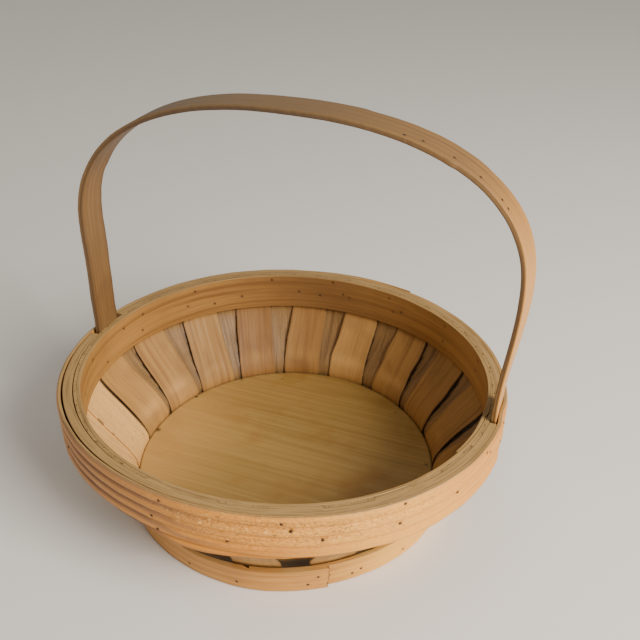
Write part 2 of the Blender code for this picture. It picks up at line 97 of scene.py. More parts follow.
def wander(values: Array, seed: int, wavelength: float, size: float) -> Array:
    """A smooth random line.

    The sum of six sines, whose wavelengths spread round the given one and whose phases are
    random, divided by the root of six so that it strays about as far as its size.

    Args:
        values: Where the line is wanted, in metres along it.
        seed: Which random line.
        wavelength: The middle wavelength in metres.
        size: How far it strays, in metres.

    Returns:
        The line's height at each value.
    """
    rng = np.random.default_rng(seed)
    lengths = wavelength * rng.uniform(0.45, 1.9, 6)
    phases = rng.uniform(0, TURN, 6)
    total = sum(np.sin(TURN * values / length + phase) for length, phase in zip(lengths, phases))
    return size * total / math.sqrt(6)


def patches(x: Array, y: Array, seed: int) -> Array:
    """Value noise: random numbers from -1 to 1 on a unit grid, eased between its corners.

    Args:
        x: Where it is wanted, in cells of the grid one way.
        y: The same the other way.
        seed: Which random grid.

    Returns:
        The noise at each place.
    """
    table = np.random.default_rng(seed).uniform(-1, 1, (64, 64))
    column, row = np.floor(x).astype(int), np.floor(y).astype(int)
    u, v = smooth(x - column), smooth(y - row)
    near = mix(table[column % 64, row % 64], table[(column + 1) % 64, row % 64], u)
    far = mix(table[column % 64, (row + 1) % 64], table[(column + 1) % 64, (row + 1) % 64], u)
    return mix(near, far, v)


def bump(distance: Array, radius: float) -> Array:
    """A round hill: 1 in its middle, falling as a bell curve of this radius."""
    return np.exp(-((distance / radius) ** 2))


def turned(azimuth: Array) -> Array:
    """The same azimuth between minus and plus half a turn."""
    return (azimuth + math.pi) % TURN - math.pi


@dataclass(frozen=True)
class Stretch:
    """A stretch round the basket where something is strongest, fading to both sides.

    Attributes:
        middle: Azimuth of its middle in degrees.
        spread: Radius of its bell curve in radians.
        amount: Its strength in the middle.
    """

    middle: float
    spread: float
    amount: float = 1.0

    def at(self, azimuth: Array) -> Array:
        """Strength at an azimuth."""
        return self.amount * bump(turned(azimuth - math.radians(self.middle)), self.spread)


# Edges that turn more than this stay sharp in the shading
SHARP_ANGLE = math.radians(50)


def board_section(
    width: float, thickness: float, ease: float, steps: tuple[int, int, int]
) -> tuple[Array, Array]:
    """The loop round a flat strip's section, with its four edges eased.

    Args:
        width: Size across the fibres.
        thickness: Size from the back face, at 0, to the front face.
        ease: How much of each corner is taken off.
        steps: Steps along the back face, a narrow face and the front face.

    Returns:
        The across and the through coordinate of each point of the loop, in metres.
    """
    back = np.linspace(ease, width - ease, steps[0] + 1)
    narrow = np.linspace(ease, thickness - ease, steps[1] + 1)
    front = np.linspace(width - ease, ease, steps[2] + 1)
    cut = 0.3 * ease
    across = np.concatenate((back, [width - cut], np.full_like(narrow, width), [width - cut]))
    across = np.concatenate((across, front, [cut], np.zeros_like(narrow), [cut]))
    through = np.concatenate((np.zeros_like(back), [cut], narrow, [thickness - cut]))
    through = np.concatenate((through, np.full_like(front, thickness), [thickness - cut]))
    return across, np.concatenate((through, narrow[::-1], [cut]))


def strip_faces(stations: int, loop: int) -> Faces:
    """Faces of a closed strip: quads between stations and one face over each end.

    Args:
        stations: Number of stations along it.
        loop: Number of points round its section.

    Returns:
        Lists of point numbers.
    """
    index = np.arange(stations * loop).reshape(stations, loop)
    after = np.roll(index, -1, axis=1)
    quads = np.stack([index[:-1], after[:-1], after[1:], index[1:]], -1).reshape(-1, 4)
    return [*quads.tolist(), index[0][::-1].tolist(), index[-1].tolist()]


def new_piece(name: str, points: Array, faces: Faces, marks: dict[str, Array]) -> bpy.types.Object:
    """Makes a mesh object of a closed shape and turns its faces outward.

    The shape's volume is summed from its faces' fans of triangles. Where it comes out
    negative, every face is turned round.

    Args:
        name: The object's name.
        points: One row of x, y, z for each vertex.
        faces: Lists of vertex numbers.
        marks: Attributes by name, one number or one vector for each vertex.

    Returns:
        The new object, at the origin.
    """
    volume = 0.0
    for size in sorted({len(face) for face in faces}):
        loops = np.array([face for face in faces if len(face) == size])
        for k in range(1, size - 1):
            a, b, c = points[loops[:, 0]], points[loops[:, k]], points[loops[:, k + 1]]
            volume += float(np.einsum("ij,ij->", a, np.cross(b, c)))
    if volume < 0:
        faces = [face[::-1] for face in faces]
    mesh = bpy.data.meshes.new(name)
    mesh.from_pydata(points.astype(np.float32), [], faces)
    for key, values in marks.items():
        kind, slot = ("FLOAT_VECTOR", "vector") if values.ndim == 2 else ("FLOAT", "value")
        attribute = mesh.attributes.new(key, kind, "POINT")
        attribute.data.foreach_set(slot, values.astype(np.float32).ravel())
    mesh.shade_smooth()
    mesh.set_sharp_from_angle(angle=SHARP_ANGLE)
    piece = bpy.data.objects.new(name, mesh)
    bpy.context.scene.collection.objects.link(piece)
    return piece


@dataclass
class Strip:
    """A closed strip of wood as arrays of stations by loop points.

    Attributes:
        points: Places, of shape stations, loop points, 3.
        grain: Metres along, across and through the wood, of the same shape.
        marks: Numbers at each point: tone from -1 to 1, and grime with painted shade, weather and
            torn from 0 to 1.
    """

    points: Array
    grain: Array
    marks: dict[str, Array] = field(default_factory=dict)

    def build(self, name: str, seed: int) -> bpy.types.Object:
        """Makes the mesh.

        Args:
            name: The piece's name.
            seed: Shifts the grain, so that no two pieces share their figure.

        Returns:
            The new object.
        """
        shape = self.points.shape[:2]
        shift = np.random.default_rng(seed).uniform(0, 3, 3)
        marks = {"grain": (self.grain + shift).reshape(-1, 3)}
        for key in ("tone", "grime_and_shade", "weather", "torn"):
            values = self.marks.get(key, np.zeros(1))
            marks[key] = np.broadcast_to(values, shape).reshape(-1)
        return new_piece(name, self.points.reshape(-1, 3), strip_faces(*shape), marks)


# Finishes


def add_node(
    tree: bpy.types.NodeTree, kind: str, settings: Values, inputs: Values, output: str | int = 0
) -> bpy.types.NodeSocket:
    """Adds a node.

    Args:
        tree: The material's tree.
        kind: The node's type name.
        settings: Attributes of the node to set.
        inputs: Values or output sockets by the name or number of the input they go to.
        output: Name or number of the output that is wanted.

    Returns:
        That output.
    """
    node = tree.nodes.new(kind)
    for key, value in settings.items():
        setattr(node, key, value)
    for key, value in inputs.items():
        if isinstance(value, bpy.types.NodeSocket):
            tree.links.new(value, node.inputs[key])
        else:
            node.inputs[key].default_value = value
    return node.outputs[output]


def noise_scale(along: float, across: float) -> tuple[float, float, float]:
    """Scale of a pattern whose marks are this many millimetres along and across the fibres."""
    return (1000 / along, 1000 / across, 1000 / across)


@dataclass(frozen=True)
class Layer:
    """One coat of colour over those before it.

    Attributes:
        source: The pattern or the mark on the mesh that says where it lies.
        low, high: Values of the source at which it starts and is full.
        strength: How much it covers at most.
        colour: Its colour.
        mark: A mark on the mesh that holds it back wherever that is below 1.
        least: How much it covers below the low value.
    """

    source: str
    low: float
    high: float
    strength: float
    colour: str
    mark: str = ""
    least: float = 0.0


@dataclass(frozen=True)
class WoodFinish:
    """Bare splint wood: split or sawn, never varnished, and handled for years.

    The eye gets long streaks from the growth rings, fine fibres, short dark flecks, soft
    blotches from handling, a grey weathered cast on sawn edges, and dark dirt with painted shade in
    corners, slits and grooves.

    Attributes:
        name: The material's name.
        pale, middle, deep: Colours of early wood, the bulk and late wood.
        stain: Colour of the blotches.
        weathered: Colour of the grey edges.
        cream, brown: Colours that a piece's tone shifts it towards.
        streak: Millimetres along and across of one streak.
        roughness: Lowest and highest roughness.
        relief: How far the fibres stand up, in metres.
        blotches: How strongly the blotches show.
        flecks: How strongly the flecks show.
        fibre: How strongly the fine fibres show.
    """

    name: str
    pale: str
    middle: str
    deep: str
    stain: str
    weathered: str = "#A78551"
    cream: str = "#EFB96E"
    brown: str = "#74491F"
    streak: tuple[float, float] = (70.0, 2.6)
    roughness: tuple[float, float] = (0.46, 0.66)
    relief: float = 0.00012
    blotches: float = 0.45
    flecks: float = 0.5
    fibre: float = 0.3

    def patterns(self) -> dict[str, tuple[tuple[float, float, float], float, float, float]]:
        """The noises that the colours and the relief are drawn from.

        Returns:
            Scale, detail, roughness and twist of each noise by its name. All run with the
            grain but the blotches, which lie in the object's own space.
        """
        along, across = self.streak
        return {
            "streaks": (noise_scale(along, across), 4.0, 0.62, 0.6),
            "rings": (noise_scale(along * 2.6, across * 3.4), 3.0, 0.5, 1.2),
            "fibres": (noise_scale(14.0, 0.75), 3.0, 0.7, 0.0),
            "flecks": (noise_scale(5.0, 0.8), 2.0, 0.6, 0.0),
            "lines": (noise_scale(38.0, 0.7), 3.0, 0.7, 0.0),
            "tears": (noise_scale(1.9, 1.1), 3.0, 0.75, 0.8),
            "blotches": (noise_scale(38.5, 38.5), 3.0, 0.55, 0.4),
        }

    def layers(self) -> tuple[Layer, ...]:
        """The coats of colour from the ground up.

        Tone shifts a whole piece towards cream or brown, on some pieces as painted light and shade,
        weather is the grey of sawn ends with dirt in their open fibres, and torn gives short dark
        marks and pale specks, partly painted shadows and highlights of raised fibres.

        Returns:
            The layers in the order in which they are laid on.
        """
        return (
            Layer("streaks", 0.36, 0.64, 1.0, self.middle),
            Layer("rings", 0.44, 0.72, 1.0, self.deep),
            Layer("blotches", 0.48, 0.78, self.blotches, self.stain),
            Layer("fibres", 0.48, 0.74, self.fibre, self.deep),
            Layer("flecks", 0.70, 0.80, self.flecks, "#6B4A2A"),
            # Tone: the piece's own colour, and on some pieces painted light and painted shade
            Layer("tone", 0.0, 1.0, 0.85, self.cream),
            Layer("lines", 0.46, 0.66, 0.45, self.middle, "tone"),
            Layer("flecks", 0.60, 0.70, 0.45, "#7A5330", "tone"),
            Layer("tone", 0.0, -1.0, 0.8, self.brown),
            Layer("streaks", 0.25, 0.6, 1.0, self.weathered, "weather", 0.55),
            Layer("lines", 0.48, 0.62, 0.7, "#7A5C34", "weather"),
            # Torn fibres: dark marks and pale specks, partly painted shadows and painted highlights
            # of raised fibres
            Layer("tears", 0.55, 0.62, 0.75, "#7A5528", "torn"),
            Layer("tears", 0.41, 0.35, 0.65, "#FFD67E", "torn"),
            # The darkest layer: dirt, and painted shade in corners, slits, recesses and grooves
            Layer("grime_and_shade", 0.0, 1.0, 0.92, "#2C1B0E"),
        )

    def material(self) -> bpy.types.Material:
        """Builds the node material.

        Returns:
            The material, whose relief is made by the streaks and fibres, less the flecks and
            the torn spots.
        """
        made = bpy.data.materials.new(self.name)
        made.use_nodes = True
        tree = made.node_tree
        shader = tree.nodes["Principled BSDF"]
        fields = {
            key: add_node(tree, "ShaderNodeAttribute", {"attribute_name": key}, {}, "Fac")
            for key in ("tone", "grime_and_shade", "weather", "torn")
        }
        grain = add_node(tree, "ShaderNodeAttribute", {"attribute_name": "grain"}, {}, "Vector")
        place = add_node(tree, "ShaderNodeTexCoord", {}, {}, "Object")
        for key, (scale, detail, rough, twist) in self.patterns().items():
            inputs = {"Vector": place if key == "blotches" else grain, "Scale": scale}
            mapped = add_node(tree, "ShaderNodeMapping", {}, inputs)
            inputs = {"Vector": mapped, "Scale": 1.0, "Detail": detail}
            inputs |= {"Roughness": rough, "Distortion": twist}
            fields[key] = add_node(tree, "ShaderNodeTexNoise", {}, inputs, "Fac")
        eased = {"interpolation_type": "SMOOTHSTEP"}
        colour = linear(self.pale)
        for layer in self.layers():
            inputs = {"Value": fields[layer.source], "From Min": layer.low, "From Max": layer.high}
            inputs |= {"To Min": layer.least, "To Max": layer.strength}
            share = add_node(tree, "ShaderNodeMapRange", eased, inputs)
            if layer.mark:
                inputs = {0: share, 1: fields[layer.mark]}
                share = add_node(tree, "ShaderNodeMath", {"operation": "MULTIPLY"}, inputs)
            inputs = {0: share, 6: colour, 7: linear(layer.colour)}
            colour = add_node(tree, "ShaderNodeMix", {"data_type": "RGBA"}, inputs, 2)
        tree.links.new(colour, shader.inputs["Base Color"])
        inputs = {"Value": fields["streaks"], "From Min": 0.3, "From Max": 0.7}
        inputs |= {"To Min": self.roughness[0], "To Max": self.roughness[1]}
        rough = add_node(tree, "ShaderNodeMapRange", eased, inputs)
        tree.links.new(rough, shader.inputs["Roughness"])
        shader.inputs["IOR"].default_value = 1.5
        inputs = {0: fields["fibres"], 1: 0.8, 2: fields["streaks"]}
        height = add_node(tree, "ShaderNodeMath", {"operation": "MULTIPLY_ADD"}, inputs)
        pits = add_node(
            tree, "ShaderNodeMath", {"operation": "MULTIPLY"}, {0: fields["torn"], 1: -3.0}
        )
        inputs = {0: pits, 1: fields["tears"], 2: height}
        height = add_node(tree, "ShaderNodeMath", {"operation": "MULTIPLY_ADD"}, inputs)
        settings = {"Height": height, "Distance": self.relief, "Strength": 1.0}
        relief = add_node(tree, "ShaderNodeBump", {}, settings)
        tree.links.new(relief, shader.inputs["Normal"])
        return made


@dataclass(frozen=True)
class IronFinish:
    """Old iron wire nails, once bright: dull dark heads with brown rust in blotches.

    Attributes:
        name: The material's name.
        metal, rust: Colours of the bare iron and of the rust.
        spot: Size of a spot of rust, in millimetres.
    """

    name: str = "rusted_iron"
    metal: str = "#453A30"
    rust: str = "#4A2B15"
    spot: float = 1.1

    def material(self) -> bpy.types.Material:
        """Builds the node material.

        Returns:
            The material, whose spots of rust are dull, brown and raised.
        """
        made = bpy.data.materials.new(self.name)
        made.use_nodes = True
        tree = made.node_tree
        shader = tree.nodes["Principled BSDF"]
        place = add_node(tree, "ShaderNodeTexCoord", {}, {}, "Object")
        inputs = {"Vector": place, "Scale": 1000 / self.spot, "Detail": 3.0}
        spots = add_node(tree, "ShaderNodeTexNoise", {}, inputs, "Fac")
        inputs = {"Value": spots, "From Min": 0.4, "From Max": 0.6}
        share = add_node(tree, "ShaderNodeMapRange", {}, inputs)
        inputs = {0: share, 6: linear(self.metal), 7: linear(self.rust)}
        colour = add_node(tree, "ShaderNodeMix", {"data_type": "RGBA"}, inputs, 2)
        tree.links.new(colour, shader.inputs["Base Color"])
        inputs = {"Value": spots, "To Min": 0.45, "To Max": 0.8}
        rough = add_node(tree, "ShaderNodeMapRange", {}, inputs)
        tree.links.new(rough, shader.inputs["Roughness"])
        shader.inputs["Metallic"].default_value = 0.6
        inputs = {"Height": spots, "Distance": 0.0001, "Strength": 0.6}
        relief = add_node(tree, "ShaderNodeBump", {}, inputs)
        tree.links.new(relief, shader.inputs["Normal"])
        return made


# Poplar split thin along its grain: silky and streaked, with soft brown blotches
STAVE_WOOD = WoodFinish(
    name="split_poplar_staves",
    pale="#AB7F42",
    middle="#A1753A",
    deep="#885E2C",
    stain="#825A28",
    streak=(60.0, 2.2),
    roughness=(0.56, 0.74),
    blotches=0.8,
    flecks=0.4,
)
# The same poplar left rough from the saw: browner and duller, with more dark flecks
STRIP_WOOD = WoodFinish(
    name="rough_poplar_strips",
    pale="#967243",
    middle="#846238",
    deep="#6E4F29",
    stain="#664822",
    streak=(40.0, 1.8),
    relief=0.0002,
    flecks=0.7,
)
# Birch peeled from the log: olive gold with long faint lines, worn smooth by its loads
BOARD_WOOD = WoodFinish(
    name="peeled_birch_board",
    pale="#AB8A4C",
    middle="#A27F42",
    deep="#98763A",
    stain="#986E30",
    streak=(110.0, 1.9),
    roughness=(0.42, 0.58),
    relief=0.00005,
    blotches=0.85,
    flecks=0.3,
    fibre=0.16,
)
# Split oak that hardly shows: a plain brown between the hoops
FILLER_WOOD = WoodFinish(
    name="split_oak_fillers", pale="#B38B55", middle="#9F7843", deep="#84602F", stain="#7F5D30"
)
# Steam-bent ash: long fine lines, polished a little by hands and darkened at the crown
HANDLE_WOOD = WoodFinish(
    name="bent_ash_handle",
    pale="#8B673A",
    middle="#7B5930",
    deep="#614322",
    stain="#664A2A",
    cream="#E09C44",
    brown="#4C3A28",
    streak=(120.0, 1.5),
    roughness=(0.42, 0.6),
)
# Bent elm, shaded inside the rim: golden brown with long streaks
INNER_WOOD = WoodFinish(
    name="inner_elm_hoop",
    pale="#AB7C40",
    middle="#9D6F36",
    deep="#855A29",
    stain="#8A5C2C",
    brown="#66482A",
    streak=(120.0, 1.9),
    flecks=0.35,
)
# The same elm bleached by daylight: orange gold, with cream at the front right partly painted light
OUTER_WOOD = WoodFinish(
    name="outer_elm_hoop",
    pale="#E39B3C",
    middle="#D58A2E",
    deep="#B56F22",
    stain="#C0783A",
    cream="#FFB94C",
    brown="#80604C",
    streak=(120.0, 2.4),
    flecks=0.35,
)
# Elm at the foot, rubbed and dirtied by the ground: a duller gold
FOOT_WOOD = WoodFinish(
    name="foot_elm_hoop",
    pale="#D09648",
    middle="#C0853A",
    deep="#A76E2B",
    stain="#A96F38",
    cream="#FFBC4C",
    streak=(90.0, 2.2),
    flecks=0.35,
)


def dress(
    piece: bpy.types.Object, material: bpy.types.Material, nodes: Sequence[str]
) -> None:
    """Gives a piece its material and its place in the frame.

    Args:
        piece: The new piece.
        material: Its finish.
        nodes: The CAD nodes that the piece stands for.
    """
    piece.data.materials.append(material)
    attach(piece, BODY)
    if nodes:
        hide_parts(*nodes)
    faces = len(piece.data.polygons)
    LOG.info("%s: %d faces, stands for %d CAD nodes", piece.name, faces, len(nodes))


# The wall's curve, shared by every piece that touches it


@dataclass(frozen=True)
class Shape:
    """The basket's own sizes, the same as in the CAD source, in metres.

    Attributes:
        board_radius, board_lift, board_thickness: The floor board, and its height.
        foot_height, rim_height: Heights of the foot hoop's and the rim's upper edges.
        rim_radius, rim_oval: Mean radius inside the staves' tops, and how oval it is.
        inner_height, outer_height: Sizes of the rim's hoops from edge to edge.
        stave_width, stave_thickness, stave_lift: One stave, and the height of its foot.
        strip_width, strip_thickness: One cover strip.
        strip_bow, strip_shift: How far it stands off a stave, and lies to one side on top.
        low_pull, high_pull: How far the wall's curve keeps upright at both ends.
    """

    board_radius: float = 0.1102
    board_lift: float = 0.002
    board_thickness: float = 0.008
    foot_height: float = 0.020
    rim_height: float = 0.094
    rim_radius: float = 0.1395
    rim_oval: float = 0.041
    inner_height: float = 0.030
    outer_height: float = 0.0315
    stave_width: float = 0.031
    stave_thickness: float = 0.0009
    stave_lift: float = 0.001
    strip_width: float = 0.030
    strip_thickness: float = 0.0009
    strip_bow: float = 0.0024
    strip_shift: float = 0.0025
    low_pull: float = 0.012
    high_pull: float = 0.007

    @property
    def floor_top(self) -> float:
        """Height of the floor board's upper face."""
        return self.board_lift + self.board_thickness

    @property
    def flare_low(self) -> float:
        """Where the wall starts to lean out."""
        return self.floor_top + 0.002

    @property
    def flare_high(self) -> float:
        """Where the wall stands upright again, just under the rim's hoops."""
        return self.rim_height - max(self.inner_height, self.outer_height) - 0.0005

    @property
    def wall_thickness(self) -> float:
        """A stave with a cover strip behind it."""
        return self.stave_thickness + GAP + self.strip_thickness

    def flare_share(self, height: Array) -> Array:
        """How far up the leaning part a height is."""
        return (height - self.foot_height) / (self.flare_high - self.foot_height)

    def oval(self, azimuth: Array, height: Array) -> Array:
        """How much longer than the mean a radius is: round at the foot, oval at the rim."""
        return 1 + self.rim_oval * smooth(self.flare_share(height)) * np.cos(2 * azimuth)

    def place(self, azimuth: Array, radius: Array, height: Array) -> Array:
        """Points of the oval basket.

        Args:
            azimuth: Directions from its axis, in radians.
            radius: Mean radii, which the oval lengthens along X.
            height: Heights above the ground.

        Returns:
            Rows of x, y and z.
        """
        azimuth, radius, height = np.broadcast_arrays(azimuth, radius, height)
        length = radius * self.oval(azimuth, height)
        return np.stack([length * np.cos(azimuth), length * np.sin(azimuth), height], -1)

    def wall(self, stations: int) -> Array:
        """The staves' inner face from the lower ends to the tops.

        A straight foot, a cubic Bezier curve that leaves it upright and reaches the rim
        upright, and a straight top, at equal steps along their length.

        Args:
            stations: How many points.

        Returns:
            Rows of radius, height, the outward direction's radius and height parts, and the
            length along the wall.
        """
        start, end = self.board_radius + GAP, self.rim_radius
        low, high = self.flare_low, self.flare_high
        share = np.linspace(0, 1, 200)
        rest = 1 - share
        weights = (rest**3, 3 * share * rest**2, 3 * share**2 * rest, share**3)
        radii = (start, start, end, end)
        heights = (low, low + self.low_pull, high - self.high_pull, high)
        curve_r = sum(w * v for w, v in zip(weights, radii))
        curve_z = sum(w * v for w, v in zip(weights, heights))
        radius = np.concatenate(([start], curve_r, [end]))
        height = np.concatenate(([self.stave_lift], curve_z, [self.rim_height - 0.0001]))
        length = np.concatenate(([0], np.cumsum(np.hypot(np.diff(radius), np.diff(height)))))
        wanted = np.linspace(0, length[-1], stations)
        radius = np.interp(wanted, length, radius)
        height = np.interp(wanted, length, height)
        run, rise = np.gradient(radius, wanted), np.gradient(height, wanted)
        size = np.hypot(run, rise)
        return np.stack([radius, height, rise / size, -run / size, wanted])


SHAPE = Shape()


class Hug(Enum):
    """Which stave the strip behind a gap lies against."""

    THIS = "this"
    NEXT = "next"
    BOTH = "both"
    OPEN = "open"


@dataclass(frozen=True)
class Stave:
    """One stave.

    Attributes:
        share: Its share of the free length at the floor, left as a gap after it.
        lean: Degrees from its foot's azimuth to its top's.
        strip: Which stave the strip behind that gap lies against.
        tone: Colour of this stave, from -1, brown, to 1, cream.
        ragged: How far its edges stray, in metres.
        torn: How rough its face is, from 0 to 1.
        slit: How much wider than usual the painted shade in the slit after it is, in metres.
    """

    share: float
    lean: float
    strip: Hug
    tone: float = 0.0
    ragged: float = 0.0002
    torn: float = 0.0
    slit: float = 0.0


# Places in the row, and azimuths, of the staves by the handle's left and right legs
LEG_STAVES = ((1, math.radians(181.056)), (10, math.radians(6.61)))
STAVES = (
    Stave(0.7, -1.9, Hug.BOTH, tone=0.95, torn=0.3),
    Stave(1.8, 0.8, Hug.THIS, tone=0.15),
    Stave(2.3, 0.5, Hug.THIS, tone=0.1, torn=0.08),
    Stave(3.4, -1.1, Hug.THIS, tone=-0.1),
    Stave(3.7, -1.1, Hug.THIS, tone=-0.6),
    Stave(4.5, -2.1, Hug.THIS, tone=-0.4),
    Stave(5.6, -1.5, Hug.BOTH, tone=0.3, ragged=0.0003, torn=0.05, slit=0.0002),
    Stave(3.7, -1.2, Hug.NEXT, tone=0.1, ragged=0.0005, torn=0.05, slit=0.0003),
    Stave(3.5, -0.7, Hug.NEXT, tone=-0.2, ragged=0.0005, torn=0.05, slit=0.0004),
    Stave(2.6, 0.0, Hug.NEXT, tone=-0.1, ragged=0.0007, torn=0.05, slit=0.0007),
    Stave(1.8, 0.0, Hug.BOTH, tone=-0.15, ragged=0.0004),
    Stave(2.3, 0.0, Hug.BOTH, ragged=0.0003),
    Stave(6.1, 0.0, Hug.OPEN, tone=0.1, ragged=0.0005),
    Stave(9.6, 0.0, Hug.OPEN, tone=0.15, ragged=0.0008),
    Stave(17.1, 0.0, Hug.OPEN, tone=0.2, ragged=0.0008),
    Stave(1.6, 0.0, Hug.BOTH, tone=0.1, ragged=0.0005),
    Stave(1.1, 0.0, Hug.BOTH, ragged=0.0003),
    Stave(2.4, 0.0, Hug.BOTH, tone=0.75, ragged=0.0003, torn=0.2),
)
# The strip after the last stave is as pale as its neighbours and lies close to them
PALE_STRIP = len(STAVES) - 1


@dataclass(frozen=True)
class Splint:
    """A thin piece of the wall: a stave, or a strip that covers a gap from behind.

    Attributes:
        ends: Azimuths of its middle at the floor and at the rim.
        cover: Whether it is a cover strip.
        ragged: How far its edges stray.
        seed: Which random edges and ripples.
        bows: How far the edges at the lower and the higher azimuth stand off half way up.
    """

    ends: Array
    cover: bool
    ragged: float
    seed: int
    bows: tuple[float, float] = (0.0, 0.0)

    @property
    def width(self) -> float:
        """Size across."""
        return SHAPE.strip_width if self.cover else SHAPE.stave_width

    @property
    def thickness(self) -> float:
        """Size from the inner to the outer face."""
        return SHAPE.strip_thickness if self.cover else SHAPE.stave_thickness

    @property
    def offset(self) -> float:
        """How far its inner face is out of the staves' inner face."""
        return SHAPE.stave_thickness + GAP if self.cover else 0.0


@dataclass(frozen=True)
class Sheet:
    """A splint's shape and where its points are on it.

    Attributes:
        strip: The closed strip.
        share: How far across each point is, from 0 to 1.
        rise: How far up the leaning part it is, from 0 to 1.
        side: How far across it is from the middle, in metres.
    """

    strip: Strip
    share: Array
    rise: Array
    side: Array


@dataclass
class Wall:
    """The staves, and the cover strips behind the gaps between them.

    Attributes:
        stations: Steps up the wall.
        steps: Steps across one stave.
        ease: How much of each corner of a piece is taken off.
        cup: How far a piece is cupped across half way up.
        ripple: How far its face ripples.
        strip_ragged: How far a cover strip's edges stray.
        slit: How wide the painted shade in the slit beside a stave is at least.
    """

    stations: int = 100
    steps: int = 18
    ease: float = 0.00018
    cup: float = 0.0003
    ripple: float = 0.0001
    strip_ragged: float = 0.0002
    slit: float = 0.0003

    def azimuths(self) -> Array:
        """Azimuths at the floor and at the rim of each stave's middle.

        Behind and in front of the handle the staves run from one leg's stave to the other
        leg's, with the free length between them shared out as gaps.

        Returns:
            One row for each stave.
        """
        pitch = SHAPE.stave_width / (SHAPE.board_radius + GAP)
        (left, left_azimuth), (right, right_azimuth) = LEG_STAVES
        shares = np.roll([stave.share for stave in STAVES], -left)
        low = np.zeros(len(STAVES))
        runs = (
            (0, right - left, left_azimuth, right_azimuth),
            (right - left, len(STAVES), right_azimuth, left_azimuth - TURN),
        )
        for first, last, start, end in runs:
            part = shares[first:last]
            gaps = pitch + (start - end - len(part) * pitch) * part / part.sum()
            low[first:last] = start - np.concatenate(([0.0], np.cumsum(gaps)[:-1]))
        low = np.roll(low, left)
        low[:left] += TURN
        lean = np.radians([stave.lean for stave in STAVES])
        return np.stack([low, low + lean], 1)

    def following(self) -> Array:
        """The same for the stave after each, which after the last is the first again.

        Returns:
            One row for each stave.
        """
        after = np.roll(self.azimuths(), -1, axis=0)
        after[-1] -= TURN
        return after

    def strip_ends(self) -> Array:
        """Azimuths at the floor and at the rim of each cover strip's middle.

        Returns:
            One row for each strip, which are as many as the gaps that aren't open.
        """
        ends = (self.azimuths() + self.following()) / 2
        signs = {Hug.THIS: 1, Hug.NEXT: -1}
        ends[:, 1] += [
            signs.get(stave.strip, 0) * SHAPE.strip_shift / SHAPE.rim_radius for stave in STAVES
        ]
        return ends[[stave.strip is not Hug.OPEN for stave in STAVES]]

    def held(self, azimuth: Array, middles: Array, width: float) -> Array:
        """How far a layer at the rim is filled at this azimuth, eased at the pieces' edges.

        Args:
            azimuth: Where to look.
            middles: Azimuths of the pieces of that layer.
            width: Width of one piece.

        Returns:
            1 on a piece and 0 between two.
        """
        away = turned(np.asarray(azimuth)[..., None] - middles)
        nearest = np.abs(away).min(-1) * SHAPE.rim_radius
        return smooth((width / 2 - nearest) / 0.0010 + 0.2)

    def staves_held(self, azimuth: Array) -> Array:
        """How far the staves fill their layer at the rim."""
        return self.held(azimuth, self.azimuths()[:, 1], SHAPE.stave_width)

    def strips_held(self, azimuth: Array) -> Array:
        """How far the cover strips fill theirs."""
        return self.held(azimuth, self.strip_ends()[:, 1], SHAPE.strip_width)

    def stack(self, azimuth: Array) -> Array:
        """Thickness of the staves and strips at the rim, which is nothing in an open gap."""
        held = np.maximum(self.staves_held(azimuth), self.strips_held(azimuth))
        return SHAPE.wall_thickness * held

    def layer(self, splint: Splint, azimuth: Array, height: Array, through: Array) -> Array:
        """How far a splint's faces are out of the staves' inner face.

        Between the rim's hoops the layers are pressed to one band: a strip fills the room
        of the staves where none lies before it, and a stave that of the strips where none
        lies behind it.

        Args:
            splint: The splint.
            azimuth: Directions of its points.
            height: Their heights.
            through: How far from its inner face they are.

        Returns:
            The distance, in metres.
        """
        pressed = smooth((height - SHAPE.flare_high + 0.003) / 0.008)
        outer = through > splint.thickness / 2
        if splint.cover:
            packed = (splint.offset - GAP) * self.staves_held(azimuth)
            inner = mix(splint.offset, packed, pressed)
            return np.where(outer, splint.offset, inner) + through
        room = (SHAPE.wall_thickness - splint.thickness) * (1 - self.strips_held(azimuth))
        return np.where(outer, room * pressed, 0.0) + through

    def sheet(self, splint: Splint) -> Sheet:
        """Carries a splint's section up the wall's curve.

        Each edge wanders by itself, the faces are cupped and rippled a little, and the bow,
        a half sine up the wall, holds each edge off the staves by its own amount.

        Args:
            splint: The splint.

        Returns:
            Its shape, darker along its edges with painted shade in the slits, and at the floor and
            under the rim with dirt and painted shade.
        """
        radius, height, out, up, length = SHAPE.wall(self.stations)[:, :, None]
        width, steps = splint.width, (self.steps, 2, self.steps)
        across, through = board_section(width, splint.thickness, self.ease, steps)
        share = across / width
        low, high = (
            wander(length, seed, wavelength=0.05, size=splint.ragged)
            + wander(length, seed + 1, wavelength=0.004, size=splint.ragged * 0.15)
            for seed in (splint.seed, splint.seed + 2)
        )
        free = 1 - smooth((height - SHAPE.flare_high) / 0.004) * 0.6
        side = across - width / 2 + mix(low, high, share) * free
        rise = np.clip(SHAPE.flare_share(height), 0, 1)
        azimuth = mix(*splint.ends, smooth(rise)) + side / radius
        arch = np.sin(math.pi * rise)
        cup = self.cup * (1 - (2 * share - 1) ** 2)
        ripple = self.ripple * patches(length * 70 + splint.seed, across * 160, splint.seed)
        off = self.layer(splint, azimuth, height, through)
        off = off + arch * (mix(*splint.bows, share) + cup + ripple)
        points = SHAPE.place(azimuth, radius + out * off, height + up * off)
        grain = np.stack(np.broadcast_arrays(length, side, through + 0 * length), -1)
        # Darker along the edges, as painted shade in the slits, and at the floor and under the rim,
        # partly dirt and partly painted shade
        edge = bump(across, radius=0.0004) + bump(across - width, radius=0.0004)
        foot = bump(height - SHAPE.floor_top, radius=0.0012)
        foot = foot + bump(height - SHAPE.flare_high, radius=0.0010)
        tops = smooth((height - SHAPE.rim_height + 0.0012) / 0.0004)
        marks = {
            "grime_and_shade": np.clip(0.5 * edge + 0.35 * foot, 0, 1) + 0 * off,
            "weather": tops + 0 * off,
        }
        return Sheet(Strip(points, grain, marks), share + 0 * off, rise + 0 * off, side + 0 * off)

